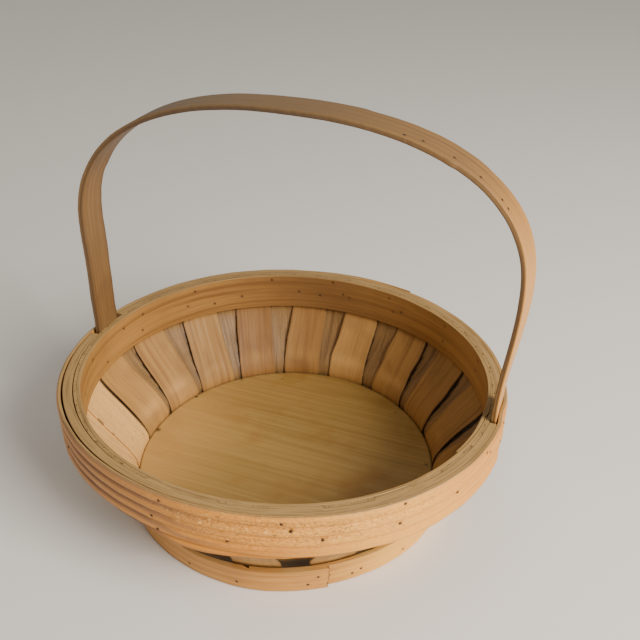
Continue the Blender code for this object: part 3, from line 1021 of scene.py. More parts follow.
    def build_staves(self) -> None:
        """Makes the eighteen staves.

        Each is paler a little above the floor, partly worn by hands and loads and partly a painted
        sheen. A pale stave is a cleaner one, and a torn one has dark dashes along its edge near the
        rim.
        """
        material = STAVE_WOOD.material()
        for number, (stave, ends) in enumerate(zip(STAVES, self.azimuths()), 1):
            sheet = self.sheet(Splint(ends, False, stave.ragged, 100 * number))
            share, rise, marks = sheet.share, sheet.rise, sheet.strip.marks
            # Paler low in the middle: partly wear, partly a painted sheen
            rub_and_sheen = 0.3 * bump(rise - 0.12, radius=0.12) * bump(share - 0.5, radius=0.5)
            edge = bump(share - 0.98, radius=0.035) * bump(rise - 0.66, radius=0.3)
            dashes = smooth((patches(rise * 18, 0 * rise + 3.5, number) - 0.2) / 0.15)
            marks["tone"] = stave.tone + rub_and_sheen
            marks["torn"] = stave.torn + 0 * share
            # A pale stave gets less of this dirt and painted shade
            marks["grime_and_shade"] = marks["grime_and_shade"] * (1 - 0.7 * max(stave.tone, 0.0))
            marks["grime_and_shade"] = marks["grime_and_shade"] + 2.5 * stave.torn * edge * dashes
            piece = sheet.strip.build(f"split_stave_{number:02d}", number)
            dress(piece, material, [f"stave_{number:02d}"])

    def slit_shade(self, index: int, ends: Array, side: Array) -> Array:
        """How dark a cover strip is painted along the edges of the two staves before it, as painted
        shade in the slits.

        Args:
            index: Number of the gap that it covers, from 0.
            ends: Azimuths of the strip's middle at the floor and at the rim.
            side: How far across its points are from that middle.

        Returns:
            The painted shade at each point, from 0 to 1.
        """
        radius, height = SHAPE.wall(self.stations)[:2, :, None]
        lean = smooth(SHAPE.flare_share(height))
        middle, half = mix(*ends, lean), SHAPE.stave_width / 2
        lower = (mix(*self.following()[index], lean) - middle) * radius + half
        upper = (mix(*self.azimuths()[index], lean) - middle) * radius - half
        depth = {Hug.THIS: (1.0, 0.25), Hug.NEXT: (0.25, 1.0)}.get(STAVES[index].strip, (0.8, 0.8))
        if index == PALE_STRIP:
            depth = (0.0, 0.1)
        wide = self.slit + STAVES[index].slit
        dark = depth[0] * (1 - smooth((side - lower - wide / 2) / wide))
        dark = dark + depth[1] * (1 - smooth((upper - side - wide / 2) / wide))
        return dark * (1 - smooth((height - SHAPE.flare_high) / 0.003))

    def build_strips(self) -> None:
        """Makes the cover strips, each bowed off the staves that it doesn't lie against."""
        material = STRIP_WOOD.material()
        gaps = [index for index, stave in enumerate(STAVES) if stave.strip is not Hug.OPEN]
        for number, (index, ends) in enumerate(zip(gaps, self.strip_ends()), 1):
            pale = index == PALE_STRIP
            bow = 0.0 if pale else SHAPE.strip_bow
            bows = {Hug.THIS: (bow, 0.0), Hug.NEXT: (0.0, bow)}
            bows = bows.get(STAVES[index].strip, (bow / 2, bow / 2))
            seed = 5000 + 100 * number
            sheet = self.sheet(Splint(ends, True, self.strip_ragged, seed, bows))
            marks = sheet.strip.marks
            # Dirt from the sheet, and painted shade in the slits beside the staves
            dirt_and_shade = (0.3 if pale else 1.0) * marks["grime_and_shade"]
            marks["grime_and_shade"] = np.clip(dirt_and_shade + self.slit_shade(index, ends, sheet.side), 0, 1)
            marks["torn"] = (0.3 if pale else 0.14) + 0 * sheet.share
            marks["tone"] = (0.95 if pale else -0.05) + 0 * sheet.share
            piece = sheet.strip.build(f"rough_strip_{number:02d}", 60 + number)
            dress(piece, material, [f"cover_strip_{number:02d}"])


# Nails, whose heads and the dents round them are shared with the hoops


@dataclass(frozen=True)
class NailRow:
    """Nails on one hoop, as pairs of azimuth in degrees and height in millimetres."""

    spots: tuple[tuple[float, float], ...]

    def radians(self) -> Array:
        """Rows of azimuth in radians and height in metres."""
        return np.array(self.spots) * (math.pi / 180, 0.001)


RIM_NAILS = NailRow(
    ((-134.2, 75.1), (-121.7, 71.0), (-79.9, 71.95), (-58.2, 76.05), (-40.3, 76.99), (-23.9, 78.88))
)
OUTER_TACKS = NailRow(
    (
        (-96.8, 90.0), (-99.6, 75.0), (-98.3, 65.5), (-67.3, 90.0), (-65.2, 84.0), (-39.4, 91.8),
        (-12.8, 90.5), (-10.1, 86.0), (-150.5, 73.0), (-166.0, 84.0), (14.0, 85.0), (16.5, 72.0),
        (33.0, 80.0), (52.0, 74.0), (66.0, 88.0), (64.5, 70.0), (72.0, 80.0), (96.0, 76.0),
        (118.0, 83.0), (141.0, 73.0), (163.0, 86.0),
    )
)
INNER_TACKS = NailRow(
    tuple(
        (azimuth + CAMERA_TURN, height)
        for azimuth, height in (
            (124.2, 89.0), (127.3, 77.0), (117.5, 73.0), (96.5, 90.0), (107.6, 76.0),
            (86.7, 79.0), (78.8, 77.0), (73.9, 91.0), (70.0, 81.0), (67.6, 79.0),
            (51.7, 89.0), (49.8, 77.5), (46.4, 80.0), (26.5, 89.0), (26.8, 75.0),
            (5.6, 89.5), (6.9, 79.0), (144.5, 87.0), (145.4, 73.0), (153.2, 85.0),
            (171.8, 86.0), (163.3, 69.5), (-177.2, 75.0), (-150.0, 84.0), (-122.0, 72.0),
            (-95.0, 86.0), (-70.0, 74.0), (-46.0, 85.0), (-30.0, 72.0),
        )
    )
)
FOOT_NAILS = NailRow(
    tuple((a, 6.0) for a in (-100.3, -82.7, -60.2, -45.4, -25.8, 30.4, 90.8, 150.2, 192.6))
)
FOOT_TACKS = NailRow(((-57.0, 12.8), (-42.4, 8.0), (-121.0, 9.0)))


@dataclass
class Hoop:
    """A strip bent once round with its ends lapped.

    The back face lies against what it holds and the strip grows outward or inward from
    there. It runs from the covered end to the tip in the direction of turn.

    Attributes:
        name: The new piece's name.
        node: The CAD node that it stands for.
        tip: Azimuth of the end that shows.
        turn: 1 if the azimuth grows from the covered end to the tip.
        grow: 1 if the front face is outward.
        low, high: Heights of its edges.
        low_radius, high_radius: Mean radii of the back face there.
        thickness, end_thickness: Thickness, and what an end is pared down to.
        lap: Length of the lap.
        packed: Share of the lap over which the raised back face comes down again.
        spring: How far it stands off its circle, in the middle of the springing part.
        spring_middle, spring_span: Azimuth of that middle, and how far the part reaches.
        grooves: Number of level grooves in the front face.
        groove_depth: Depth of a groove.
        bead_depth: How far the beads between the grooves are rounded.
        nails: Nails whose heads mark the front face.
        dent_depth, dent_radius: Depth and radius of the dent round a nail's head.
        frayed: How far up the strip from its tip the end is frayed.
        stations: Steps along the strip.
        across_steps: Steps across the front face.
        back_steps: Steps across the back face.
        seed: Which random stray and figure.
    """

    name: str
    node: str
    tip: float
    turn: int
    grow: int
    low: float
    high: float
    low_radius: float
    high_radius: float
    thickness: float
    end_thickness: float
    lap: float
    packed: float = 0.1
    spring: float = 0.0
    spring_middle: float = 0.0
    spring_span: float = 1.0
    grooves: int = 0
    groove_depth: float = 0.0
    bead_depth: float = 0.0004
    nails: tuple[NailRow, ...] = ()
    dent_depth: float = 0.00018
    dent_radius: float = 0.0013
    frayed: float = 0.012
    stations: int = 1000
    across_steps: int = 34
    back_steps: int = 10
    seed: int = 1

    @property
    def lap_angle(self) -> float:
        """The lap as an angle."""
        return self.lap / self.high_radius

    @property
    def width(self) -> float:
        """Size across the fibres."""
        return self.high - self.low

    def back(self, height: Array) -> Array:
        """Mean radius of the back face at a height."""
        return mix(self.low_radius, self.high_radius, (height - self.low) / self.width)

    def sprung(self, azimuth: Array) -> Array:
        """How far the strip stands off its circle at this azimuth."""
        away = turned(azimuth - self.spring_middle)
        return self.spring * smooth(1 - np.abs(away) / self.spring_span)

    def faces(self, along: Array) -> tuple[Array, Array]:
        """How far the two faces stand off their circle.

        The front rises gently to the lap, and the back is packed out until just before it.

        Args:
            along: Angle from the covered end.

        Returns:
            How far the back and the front face stand off.
        """
        step = self.end_thickness + GAP
        pared = self.thickness - self.end_thickness
        over = (along - TURN) / self.lap_angle
        back = step * np.clip(1 + over / self.packed, 0, 1) + pared * np.maximum(over, 0)
        rise = step * np.clip(1 + over, 0, 1)
        start = pared * np.maximum(1 - along / self.lap_angle, 0)
        return back, self.thickness + rise - start

    def relief(self, azimuth: Array, height: Array) -> Array:
        """How far the front face lies below its flat shape.

        Round beads between narrow grooves: the depth is the sixth power of a cosine whose
        peaks are at the grooves, less the sine between them, and it varies slowly along the
        strip. Each nail has a dent.

        Args:
            azimuth: Directions of the points.
            height: Their heights.

        Returns:
            The depth, in metres.
        """
        depth = np.zeros(np.broadcast(azimuth, height).shape)
        share = (height - self.low) / self.width
        if self.grooves:
            metres = azimuth * self.high_radius
            drift = wander(metres, self.seed + 9, wavelength=0.12, size=0.012)
            beads = (share + drift) * (self.grooves + 1)
            wave = np.abs(np.cos(math.pi * beads))
            strength = 1 + 0.5 * patches(azimuth * 2.3 + 8, share * 0.0 + 3, self.seed)
            strength = strength * mix(0.9, 0.5, smooth(turned(azimuth) / 0.9 + 1.55))
            depth = depth + self.groove_depth * strength * wave**6
            depth = depth + self.bead_depth * (1 - np.sin(math.pi * (beads % 1))) * strength
        for spot in self.spots():
            away = self.apart(spot, azimuth, height)
            depth = depth + self.dent_depth * bump(away, self.dent_radius)
        return depth

    def strayed(self, azimuth: Array, share: Array) -> Array:
        """How far the strip strays up or down from its level place."""
        return 0.0 * azimuth * share

    def tucked(self, azimuth: Array, share: Array, face: Array) -> Array:
        """How far the strip reaches in towards what it holds."""
        return 0.0 * azimuth * share * face

    def spots(self) -> Array:
        """Every nail on this hoop."""
        rows = [row.radians() for row in self.nails]
        return np.concatenate(rows) if rows else np.zeros((0, 2))

    def apart(self, spot: Array, azimuth: Array, height: Array) -> Array:
        """Distance from a nail along the face."""
        return np.hypot(turned(azimuth - spot[0]) * self.high_radius, height - spot[1])

    def front_radius(self, azimuth: Array, height: Array) -> Array:
        """Mean radius of the face that shows.

        Args:
            azimuth: Directions of the points.
            height: Their heights.

        Returns:
            The radius at each.
        """
        along = (self.turn * (azimuth - self.tip)) % TURN + self.lap_angle
        stand = self.faces(along)[1] - self.relief(azimuth, height)
        return self.back(height) + self.sprung(azimuth) + self.grow * stand

    def build(self) -> bpy.types.Object:
        """Carries the section round the basket.

        Returns:
            The new piece.
        """
        end = TURN + self.lap_angle
        along = np.linspace(0, end, self.stations)[:, None]
        ease = min(0.0004, self.end_thickness / 3)
        steps = (self.back_steps, 6, self.across_steps)
        across, through = board_section(self.width, self.thickness, ease, steps)
        share, face = across / self.width, through / self.thickness
        metres = along * self.high_radius
        upper = np.abs(wander(metres, self.seed, wavelength=0.06, size=0.00015))
        lower = np.abs(wander(metres, self.seed + 1, wavelength=0.05, size=0.0003))
        height = self.low + across - share * upper + (1 - share) * lower
        fray = wander(across, self.seed + 2, wavelength=0.006, size=0.0009)
        fray = fray + 0.0012 * (share - 0.5)
        from_tip = (end - along) * self.high_radius
        shifted = along + smooth(1 - from_tip / self.frayed) * fray / self.high_radius
        azimuth = self.tip + self.turn * (shifted - end)
        height = height + self.strayed(azimuth, share)
        inner, outer = self.faces(along)
        front = smooth(face * 2 - 1)
        sunk = self.relief(azimuth, height) * front
        thin = np.abs(wander(metres, self.seed + 4, wavelength=0.08, size=0.0001))
        stand = self.grow * (mix(inner, outer, face) - sunk)
        stand = stand - thin - self.tucked(azimuth, share, face)
        points = SHAPE.place(azimuth, self.back(height) + self.sprung(azimuth) + stand, height)
        grain = np.stack(np.broadcast_arrays(metres, across, through + 0 * metres), -1)
        marks = {
            "grime_and_shade": self.dirt_and_shade(azimuth, height, front, sunk, from_tip, face),
            "weather": smooth((share - 1 + 0.0006 / self.width) * self.width / 0.0005) + 0 * metres,
        }
        strip = Strip(points, grain, marks)
        self.mark(strip, azimuth, share + 0 * metres)
        return strip.build(self.name, self.seed)

    def dirt_and_shade(
        self,
        azimuth: Array,
        height: Array,
        front: Array,
        sunk: Array,
        from_tip: Array,
        face: Array,
    ) -> Array:
        """Dirt round the nails, in the grooves, at the tip and along the lower edge.

        Args:
            azimuth: Directions of the points.
            height: Their heights.
            front: 1 on the front face.
            sunk: How far the front face lies below its flat shape.
            from_tip: Metres from the tip.
            face: 0 at the back face and 1 at the front face.

        Returns:
            The grime and painted shade at each point, from 0 to 1.
        """
        # Darker the deeper the face is sunk: partly dirt, partly painted shade in the grooves and
        # dents
        grime_and_shade = 0.10 * np.clip(sunk / max(self.groove_depth, 0.0006), 0, 1.2) ** 2
        for spot in self.spots():
            away = self.apart(spot, azimuth, height)
            round_head = 0.6 * bump(away, radius=0.0011) + 0.15 * bump(away, radius=0.0028)
            grime_and_shade = grime_and_shade + front * round_head
        tip_line = 0.5 * bump(from_tip, radius=0.0008)
        lower = 0.25 * bump(height - self.low, radius=0.0008) * face
        return np.clip(grime_and_shade + tip_line + lower, 0, 1)

    def mark(self, strip: Strip, azimuth: Array, share: Array) -> None:
        """Adds the marks that only this hoop has."""


@dataclass
class OuterHoop(Hoop):
    """The rim's outer hoop, pinker and browner on the left and creamier at the front right, partly
    its own colour and partly painted shade and light, with torn fibres along its front.

    Attributes:
        torn: Where the front's fibres are torn.
        speck: Length and height of one torn speck.
        speck_depth: How deep the specks are at most.
        hangs: Where the lower edge hangs, and by how much.
        drawn, drawn_width: How far the nails draw it in at the legs, and over what width.
        inset: How far it lies within its smooth shape all round.
        browner, brown: Where its colour is browner, and by how much.
        creamier: Where it is creamier, and by how much.
        groove_brown: How much browner a groove is, as painted shade.
    """

    torn: Stretch = Stretch(-66, 0.62, 1.4)
    speck: tuple[float, float] = (0.0018, 0.0009)
    speck_depth: float = 0.0006
    hangs: tuple[Stretch, ...] = (Stretch(-89, 0.19, 0.0042), Stretch(-68, 0.2, 0.0014))
    drawn: float = 0.0010
    drawn_width: float = 0.029
    inset: float = 0.0001
    # browner, brown: Where its colour is browner, partly as painted shade, and by how much.
    browner: Stretch = Stretch(-125, 0.75)
    brown: float = 0.46
    # creamier: Where it is creamier, partly as painted light, and by how much.
    creamier: Stretch = Stretch(-42, 0.6, 0.65)
    groove_brown: float = 0.6

    def torn_share(self, azimuth: Array, share: Array) -> Array:
        """Where the front's fibres are torn: along two bands, towards the right.

        Args:
            azimuth: Directions of the points.
            share: How far up the hoop they are, from 0 to 1.

        Returns:
            How torn each point is, from 0 to 1.
        """
        upper = bump(share - 0.78, radius=0.2)
        lower = 0.6 * bump(share - 0.42, radius=0.22)
        return np.clip(self.torn.at(azimuth) * (upper + lower), 0, 1)

    def sprung(self, azimuth: Array) -> Array:
        """Adds to the spring that the nails draw the hoop flat against the legs.

        Args:
            azimuth: Directions of the points.

        Returns:
            How far the hoop stands off its circle there.
        """
        across = self.high_radius * np.sin(azimuth) - STRAP.set_back
        share = np.cos(math.pi * np.clip(across / self.drawn_width, -0.5, 0.5)) ** 2
        return super().sprung(azimuth) - self.drawn * share

    def relief(self, azimuth: Array, height: Array) -> Array:
        """Adds the torn fibres, hollows and raised specks of a millimetre or so.

        Args:
            azimuth: Directions of the points.
            height: Their heights.

        Returns:
            The depth, in metres.
        """
        torn = self.torn_share(azimuth, (height - self.low) / self.width)
        long, tall = self.speck
        specks = patches(azimuth * self.high_radius / long, height / tall, self.seed + 30)
        hollows = self.speck_depth * torn * np.maximum(specks - 0.1, 0)
        return super().relief(azimuth, height) + hollows

    def strayed(self, azimuth: Array, share: Array) -> Array:
        """Lets the lower edge hang a little at the left front."""
        return -sum(hang.at(azimuth) for hang in self.hangs) * (1 - share)

    def tucked(self, azimuth: Array, share: Array, face: Array) -> Array:
        """Keeps the strip just inside its smooth shape."""
        return self.inset + super().tucked(azimuth, share, face)

    def mark(self, strip: Strip, azimuth: Array, share: Array) -> None:
        """Marks the torn fibres and shifts the colour from left to right, partly with painted shade
        and light.

        Args:
            strip: The hoop, whose marks are added to.
            azimuth: Directions of its points.
            share: How far up the hoop they are, from 0 to 1.
        """
        strip.marks["torn"] = self.torn_share(azimuth, share)
        # Browner at the left and creamier at the front right: partly the wood's own colour, partly
        # painted shade and light
        left = self.browner.at(azimuth)
        # Browner grooves, most at the left: painted shade in the grooves
        wave = np.abs(np.cos(math.pi * share * (self.grooves + 1))) ** 6
        grooves = self.groove_brown * wave * (0.25 + left)
        strip.marks["tone"] = self.creamier.at(azimuth) - self.brown * left - grooves


@dataclass
class InnerHoop(Hoop):
    """The rim's inner hoop, darker at the back with painted shade.

    Attributes:
        tones: Where its colour shifts, as painted shade and light, and by how much.
    """

    tones: tuple[Stretch, ...] = (
        Stretch(98, 0.75, -0.62),
        Stretch(35, 0.5, 0.35),
        Stretch(165, 0.5, 0.15),
    )

    def mark(self, strip: Strip, azimuth: Array, share: Array) -> None:
        """Darkens the back with painted shade, and lightens the left and the right with painted
        light.
        """
        # Painted shade at the back, painted light on the left and the right
        strip.marks["tone"] = sum(tone.at(azimuth) for tone in self.tones) + 0.0 * share


@dataclass
class FootRing(Hoop):
    """The foot hoop, whose upper edge rises a little at the left front.

    Attributes:
        rises: Where the upper edge rises, and by how much.
        closed: Where the upper edge is tucked in to the staves.
        room: What it reaches over there besides its own spring.
        paler: Where it is paler, as painted light, and by how much.
    """

    rises: Stretch = Stretch(-113, 0.2, 0.0030)
    closed: Stretch = Stretch(-62, 0.7)
    room: float = 0.0009
    paler: Stretch = Stretch(-20, 0.55, 0.8)

    def strayed(self, azimuth: Array, share: Array) -> Array:
        """Lets the upper edge rise at the left front."""
        return self.rises.at(azimuth) * share

    def tucked(self, azimuth: Array, share: Array, face: Array) -> Array:
        """Closes the slit between the upper edge and the staves, where the ring springs off."""
        reach = (self.sprung(azimuth) + self.room) * self.closed.at(azimuth)
        return reach * share**6 * (1 - face)

    def mark(self, strip: Strip, azimuth: Array, share: Array) -> None:
        """Makes the right paler with painted light, and the tucked-in upper edge brown.

        Args:
            strip: The ring, whose marks are added to.
            azimuth: Directions of its points.
            share: How far up the ring they are, from 0 to 1.
        """
        # Paler at the right front, which faces the window: painted light
        strip.marks["tone"] = self.paler.at(azimuth) + 0.0 * share
        upper = strip.marks["weather"]
        strip.marks["weather"] = 0.35 * upper
        strip.marks["grime_and_shade"] = np.clip(strip.marks["grime_and_shade"] + 0.3 * upper, 0, 1)


def rim_reach(mean_radius: float, across: Array | float) -> Array:
    """How far along X a rim lies.

    The azimuth at which the oval is this far off the X axis is found by repeating the
    arcsine of the distance over the radius there, which settles within a few steps.

    Args:
        mean_radius: The rim's mean radius.
        across: How far off the X axis.

    Returns:
        The distance along X, in metres.
    """
    azimuth = np.zeros_like(across, dtype=float)
    for _ in range(12):
        oval = 1 + SHAPE.rim_oval * np.cos(2 * azimuth)
        azimuth = np.arcsin(across / (mean_radius * oval))
    oval = 1 + SHAPE.rim_oval * np.cos(2 * azimuth)
    return mean_radius * oval * np.cos(azimuth)


@dataclass(frozen=True)
class Strap:
    """The handle's sizes, and where its legs stand at the rim, as in the CAD source.

    Attributes:
        top: Height of the crown.
        width, thickness: The strap's section.
        crown: How far the highest point is towards the right.
        set_back: How far the handle stands behind the middle.
        twist, twist_height: Most twist of the right side, and the height where it ends.
        right, left: Span and height of a side's widest point, and the power of its curve.
        leg_lift: How far a leg's end is above the outer hoop's lower edge.
    """

    top: float = 0.2818
    width: float = 0.0245
    thickness: float = 0.0036
    crown: float = 0.0055
    set_back: float = 0.004
    twist: float = math.radians(6)
    twist_height: float = 0.250
    right: tuple[float, float, float] = (0.1568, 0.1832, 2.4)
    left: tuple[float, float, float] = (0.1479, 0.1747, 2.3)
    leg_lift: float = 0.002

    @property
    def wall_outside(self) -> float:
        """Mean radius of the cover strips' outer face at the rim."""
        return SHAPE.rim_radius + SHAPE.wall_thickness

    @property
    def leg_inside(self) -> float:
        """How far along X a leg's inner face is."""
        nearest = max(0.0, self.set_back - self.width / 2)
        return float(rim_reach(self.wall_outside, nearest)) + GAP

    @property
    def hoop_inside(self) -> float:
        """Mean radius of the outer hoop's back face, which just clears the legs' corners.

        Returns:
            The radius, in metres.
        """
        reach = self.leg_inside + self.thickness
        across = self.set_back + self.width / 2
        oval = 1 + SHAPE.rim_oval * math.cos(2 * math.atan2(across, reach))
        return (math.hypot(reach, across) + GAP) / oval


STRAP = Strap()


def wall_radius(height: float) -> float:
    """Mean radius of the cover strips' outer face.

    Args:
        height: Where on the wall.

    Returns:
        The radius there, in metres.
    """
    radius, level, out, up, _ = SHAPE.wall(400)
    off = SHAPE.wall_thickness
    return float(np.interp(height, level + up * off, radius + out * off))


INNER_HOOP = InnerHoop(
    name="inner_hoop",
    node="inner_rim_hoop",
    tip=math.radians(-18),
    turn=-1,
    grow=-1,
    low=SHAPE.rim_height - SHAPE.inner_height,
    high=SHAPE.rim_height,
    low_radius=SHAPE.rim_radius - 0.0001,
    high_radius=SHAPE.rim_radius - 0.0001,
    thickness=0.0022,
    end_thickness=0.0008,
    lap=0.040,
    nails=(INNER_TACKS,),
    back_steps=14,
    seed=11,
)
OUTER_HOOP = OuterHoop(
    name="outer_hoop",
    node="outer_rim_hoop",
    tip=math.radians(68.4),
    turn=-1,
    grow=1,
    low=SHAPE.rim_height - SHAPE.outer_height,
    high=SHAPE.rim_height,
    low_radius=STRAP.hoop_inside,
    high_radius=STRAP.hoop_inside,
    thickness=0.0032,
    end_thickness=0.0012,
    lap=0.045,
    spring=0.0035,
    spring_middle=math.radians(-148),
    spring_span=math.radians(55),
    grooves=3,
    groove_depth=0.0009,
    nails=(RIM_NAILS, OUTER_TACKS),
    across_steps=48,
    stations=1250,
    seed=21,
)
FOOT_HOOP = FootRing(
    name="foot_ring",
    node="foot_hoop",
    tip=math.radians(-53.7),
    turn=1,
    grow=1,
    low=0.0,
    high=SHAPE.foot_height,
    low_radius=SHAPE.board_radius + SHAPE.wall_thickness + 2 * GAP + 0.0006,
    high_radius=wall_radius(SHAPE.foot_height) + GAP,
    thickness=0.0018,
    end_thickness=0.0018,
    lap=0.050,
    spring=0.004,
    spring_middle=math.radians(-10),
    spring_span=math.radians(55),
    nails=(FOOT_NAILS, FOOT_TACKS),
    across_steps=24,
    stations=900,
    seed=31,
)


@dataclass
class Rim:
    """The two hoops at the rim and the fillers between the handle's legs.

    Attributes:
        wall: The staves and strips that the fillers press on.
        gaps: Room between a filler's end and a leg, at the back and at the front, each at
            the right and at the left.
        clear: Air between a filler and the wall.
        loosened, loose_span: How far the wall comes off a filler where the outer hoop
            springs off, and half the angle over which it does.
        wedge: Share of the hoop's spring that a filler's upper edge follows.
        ease: How much of each corner of a filler is taken off.
        stations: Steps along a filler.
    """

    wall: Wall
    gaps: tuple[tuple[float, float], tuple[float, float]] = ((0.0030, 0.0028), (0.0004, 0.0020))
    clear: float = 0.00005
    loosened: float = 0.0007
    loose_span: float = 0.75
    wedge: float = 0.66
    ease: float = 0.0002
    stations: int = 800

    def build_hoops(self) -> None:
        """Makes the inner and the outer hoop."""
        for hoop, wood, slot in (
            (INNER_HOOP, INNER_WOOD, "inner_rim_wood"),
            (OUTER_HOOP, OUTER_WOOD, "outer_rim_wood"),
        ):
            dress(hoop.build(), wood.material(), [hoop.node])

    def spans(self) -> dict[str, tuple[float, float]]:
        """Azimuths between which each filler lies.

        Returns:
            Its right and its left end, for the filler at the back and the one in front.
        """
        inside = STRAP.wall_outside + GAP
        far, near = STRAP.set_back + STRAP.width / 2, STRAP.set_back - STRAP.width / 2
        (far_right, far_left), (near_right, near_left) = self.gaps
        return {
            "back": (
                math.asin((far + far_right) / inside),
                math.pi - math.asin((far + far_left) / inside),
            ),
            "front": (
                math.asin((near - near_right) / inside),
                -math.pi - math.asin((near - near_left) / inside),
            ),
        }

    def filler(self, span: tuple[float, float], seed: int) -> Strip:
        """A flat strip on edge between the wall and the outer hoop.

        Its inner face follows the staves and strips, its outer face the hoop. At the left,
        where the hoop springs off, it is a wedge: its foot reaches the hoop and its top
        leaves a dark crescent.

        Args:
            span: Azimuths of its ends.
            seed: Which random stray.

        Returns:
            The filler.
        """
        inside, outside = STRAP.wall_outside + GAP, STRAP.hoop_inside - GAP
        low = SHAPE.rim_height - SHAPE.outer_height + STRAP.leg_lift
        tall, thickness = SHAPE.rim_height - low, outside - inside
        azimuth = np.linspace(*span, self.stations)[:, None]
        across, through = board_section(tall, thickness, self.ease, (14, 12, 14))
        metres = (azimuth - span[0]) * inside
        share, face = across / tall, through / thickness
        height = low + across - share * np.abs(wander(metres, seed, wavelength=0.04, size=0.0001))
        away = np.abs(turned(azimuth - OUTER_HOOP.spring_middle))
        loose = self.loosened * smooth(1 - away / self.loose_span)
        inner = SHAPE.rim_radius + self.clear + self.wall.stack(azimuth) + loose
        spring = OUTER_HOOP.sprung(azimuth)
        wedge = mix(spring, self.wedge * spring, smooth(share * 1.5 - 0.4))
        drawn = outside + np.where(spring > 0, wedge, np.minimum(spring, 0.0))
        points = SHAPE.place(azimuth, mix(inner, drawn, face), height)
        grain = np.stack(np.broadcast_arrays(metres, across, through + 0 * metres), -1)
        top = smooth((share - 1 + 0.0006 / tall) * tall / 0.0005)
        edges = bump(through, radius=0.0003) + bump(through - thickness, radius=0.0003)
        # Painted shade on the outer face below the top, where it shows in the crescent behind the
        # hoop
        deep = smooth((0.985 - share) / 0.05) * bump(face - 1, radius=0.2)
        grime_and_shade = np.clip(0.4 * edges + 0.8 * deep, 0, 1)
        return Strip(points, grain, {"weather": top + 0 * metres, "grime_and_shade": grime_and_shade + 0 * metres})

    def build_fillers(self) -> None:
        """Makes the two fillers."""
        material = FILLER_WOOD.material()
        for seed, (side, span) in enumerate(self.spans().items(), 41):
            piece = self.filler(span, seed).build(f"{side}_filler", seed)
            dress(piece, material, [f"rim_filler_{side}"])


@dataclass(frozen=True)
class Nick:
    """Where an edge of the strap has lost a splinter.

    Attributes:
        start: Metres along the strap from the right rim to the sharp end of the nick.
        run: Metres over which it fades, negative towards the right rim.
        far: Whether it is on the far edge.
        depth: How much is gone.
    """

    start: float
    run: float
    far: bool
    depth: float

    def cut(self, length: Array) -> Array:
        """How much of the edge is gone: most where it is torn off, and then less and less.

        Args:
            length: Metres along the strap from the right rim.

        Returns:
            The depth of the nick there, in metres.
        """
        gone = (length - self.start) / self.run
        sharp = smooth(gone * abs(self.run) / 0.004)
        return self.depth * np.where(gone >= 0, 1 - smooth(gone), 0.0) * sharp


NICKS = (
    Nick(start=0.248, run=-0.080, far=True, depth=0.0009),
    Nick(start=0.171, run=-0.090, far=True, depth=0.0010),
    Nick(start=0.189, run=-0.110, far=False, depth=0.0008),
    Nick(start=0.454, run=0.060, far=True, depth=0.0010),
    Nick(start=0.400, run=0.050, far=True, depth=0.0008),
)
# Tacks in the strap's outer face: metres from the right rim, and across from its middle
STRAP_TACKS = (
    (0.2192, -0.0085),
    (0.2088, -0.0062),
    (0.1892, -0.0058),
    (0.1712, -0.0060),
    (0.1545, -0.0062),
    (0.1484, -0.0068),
)


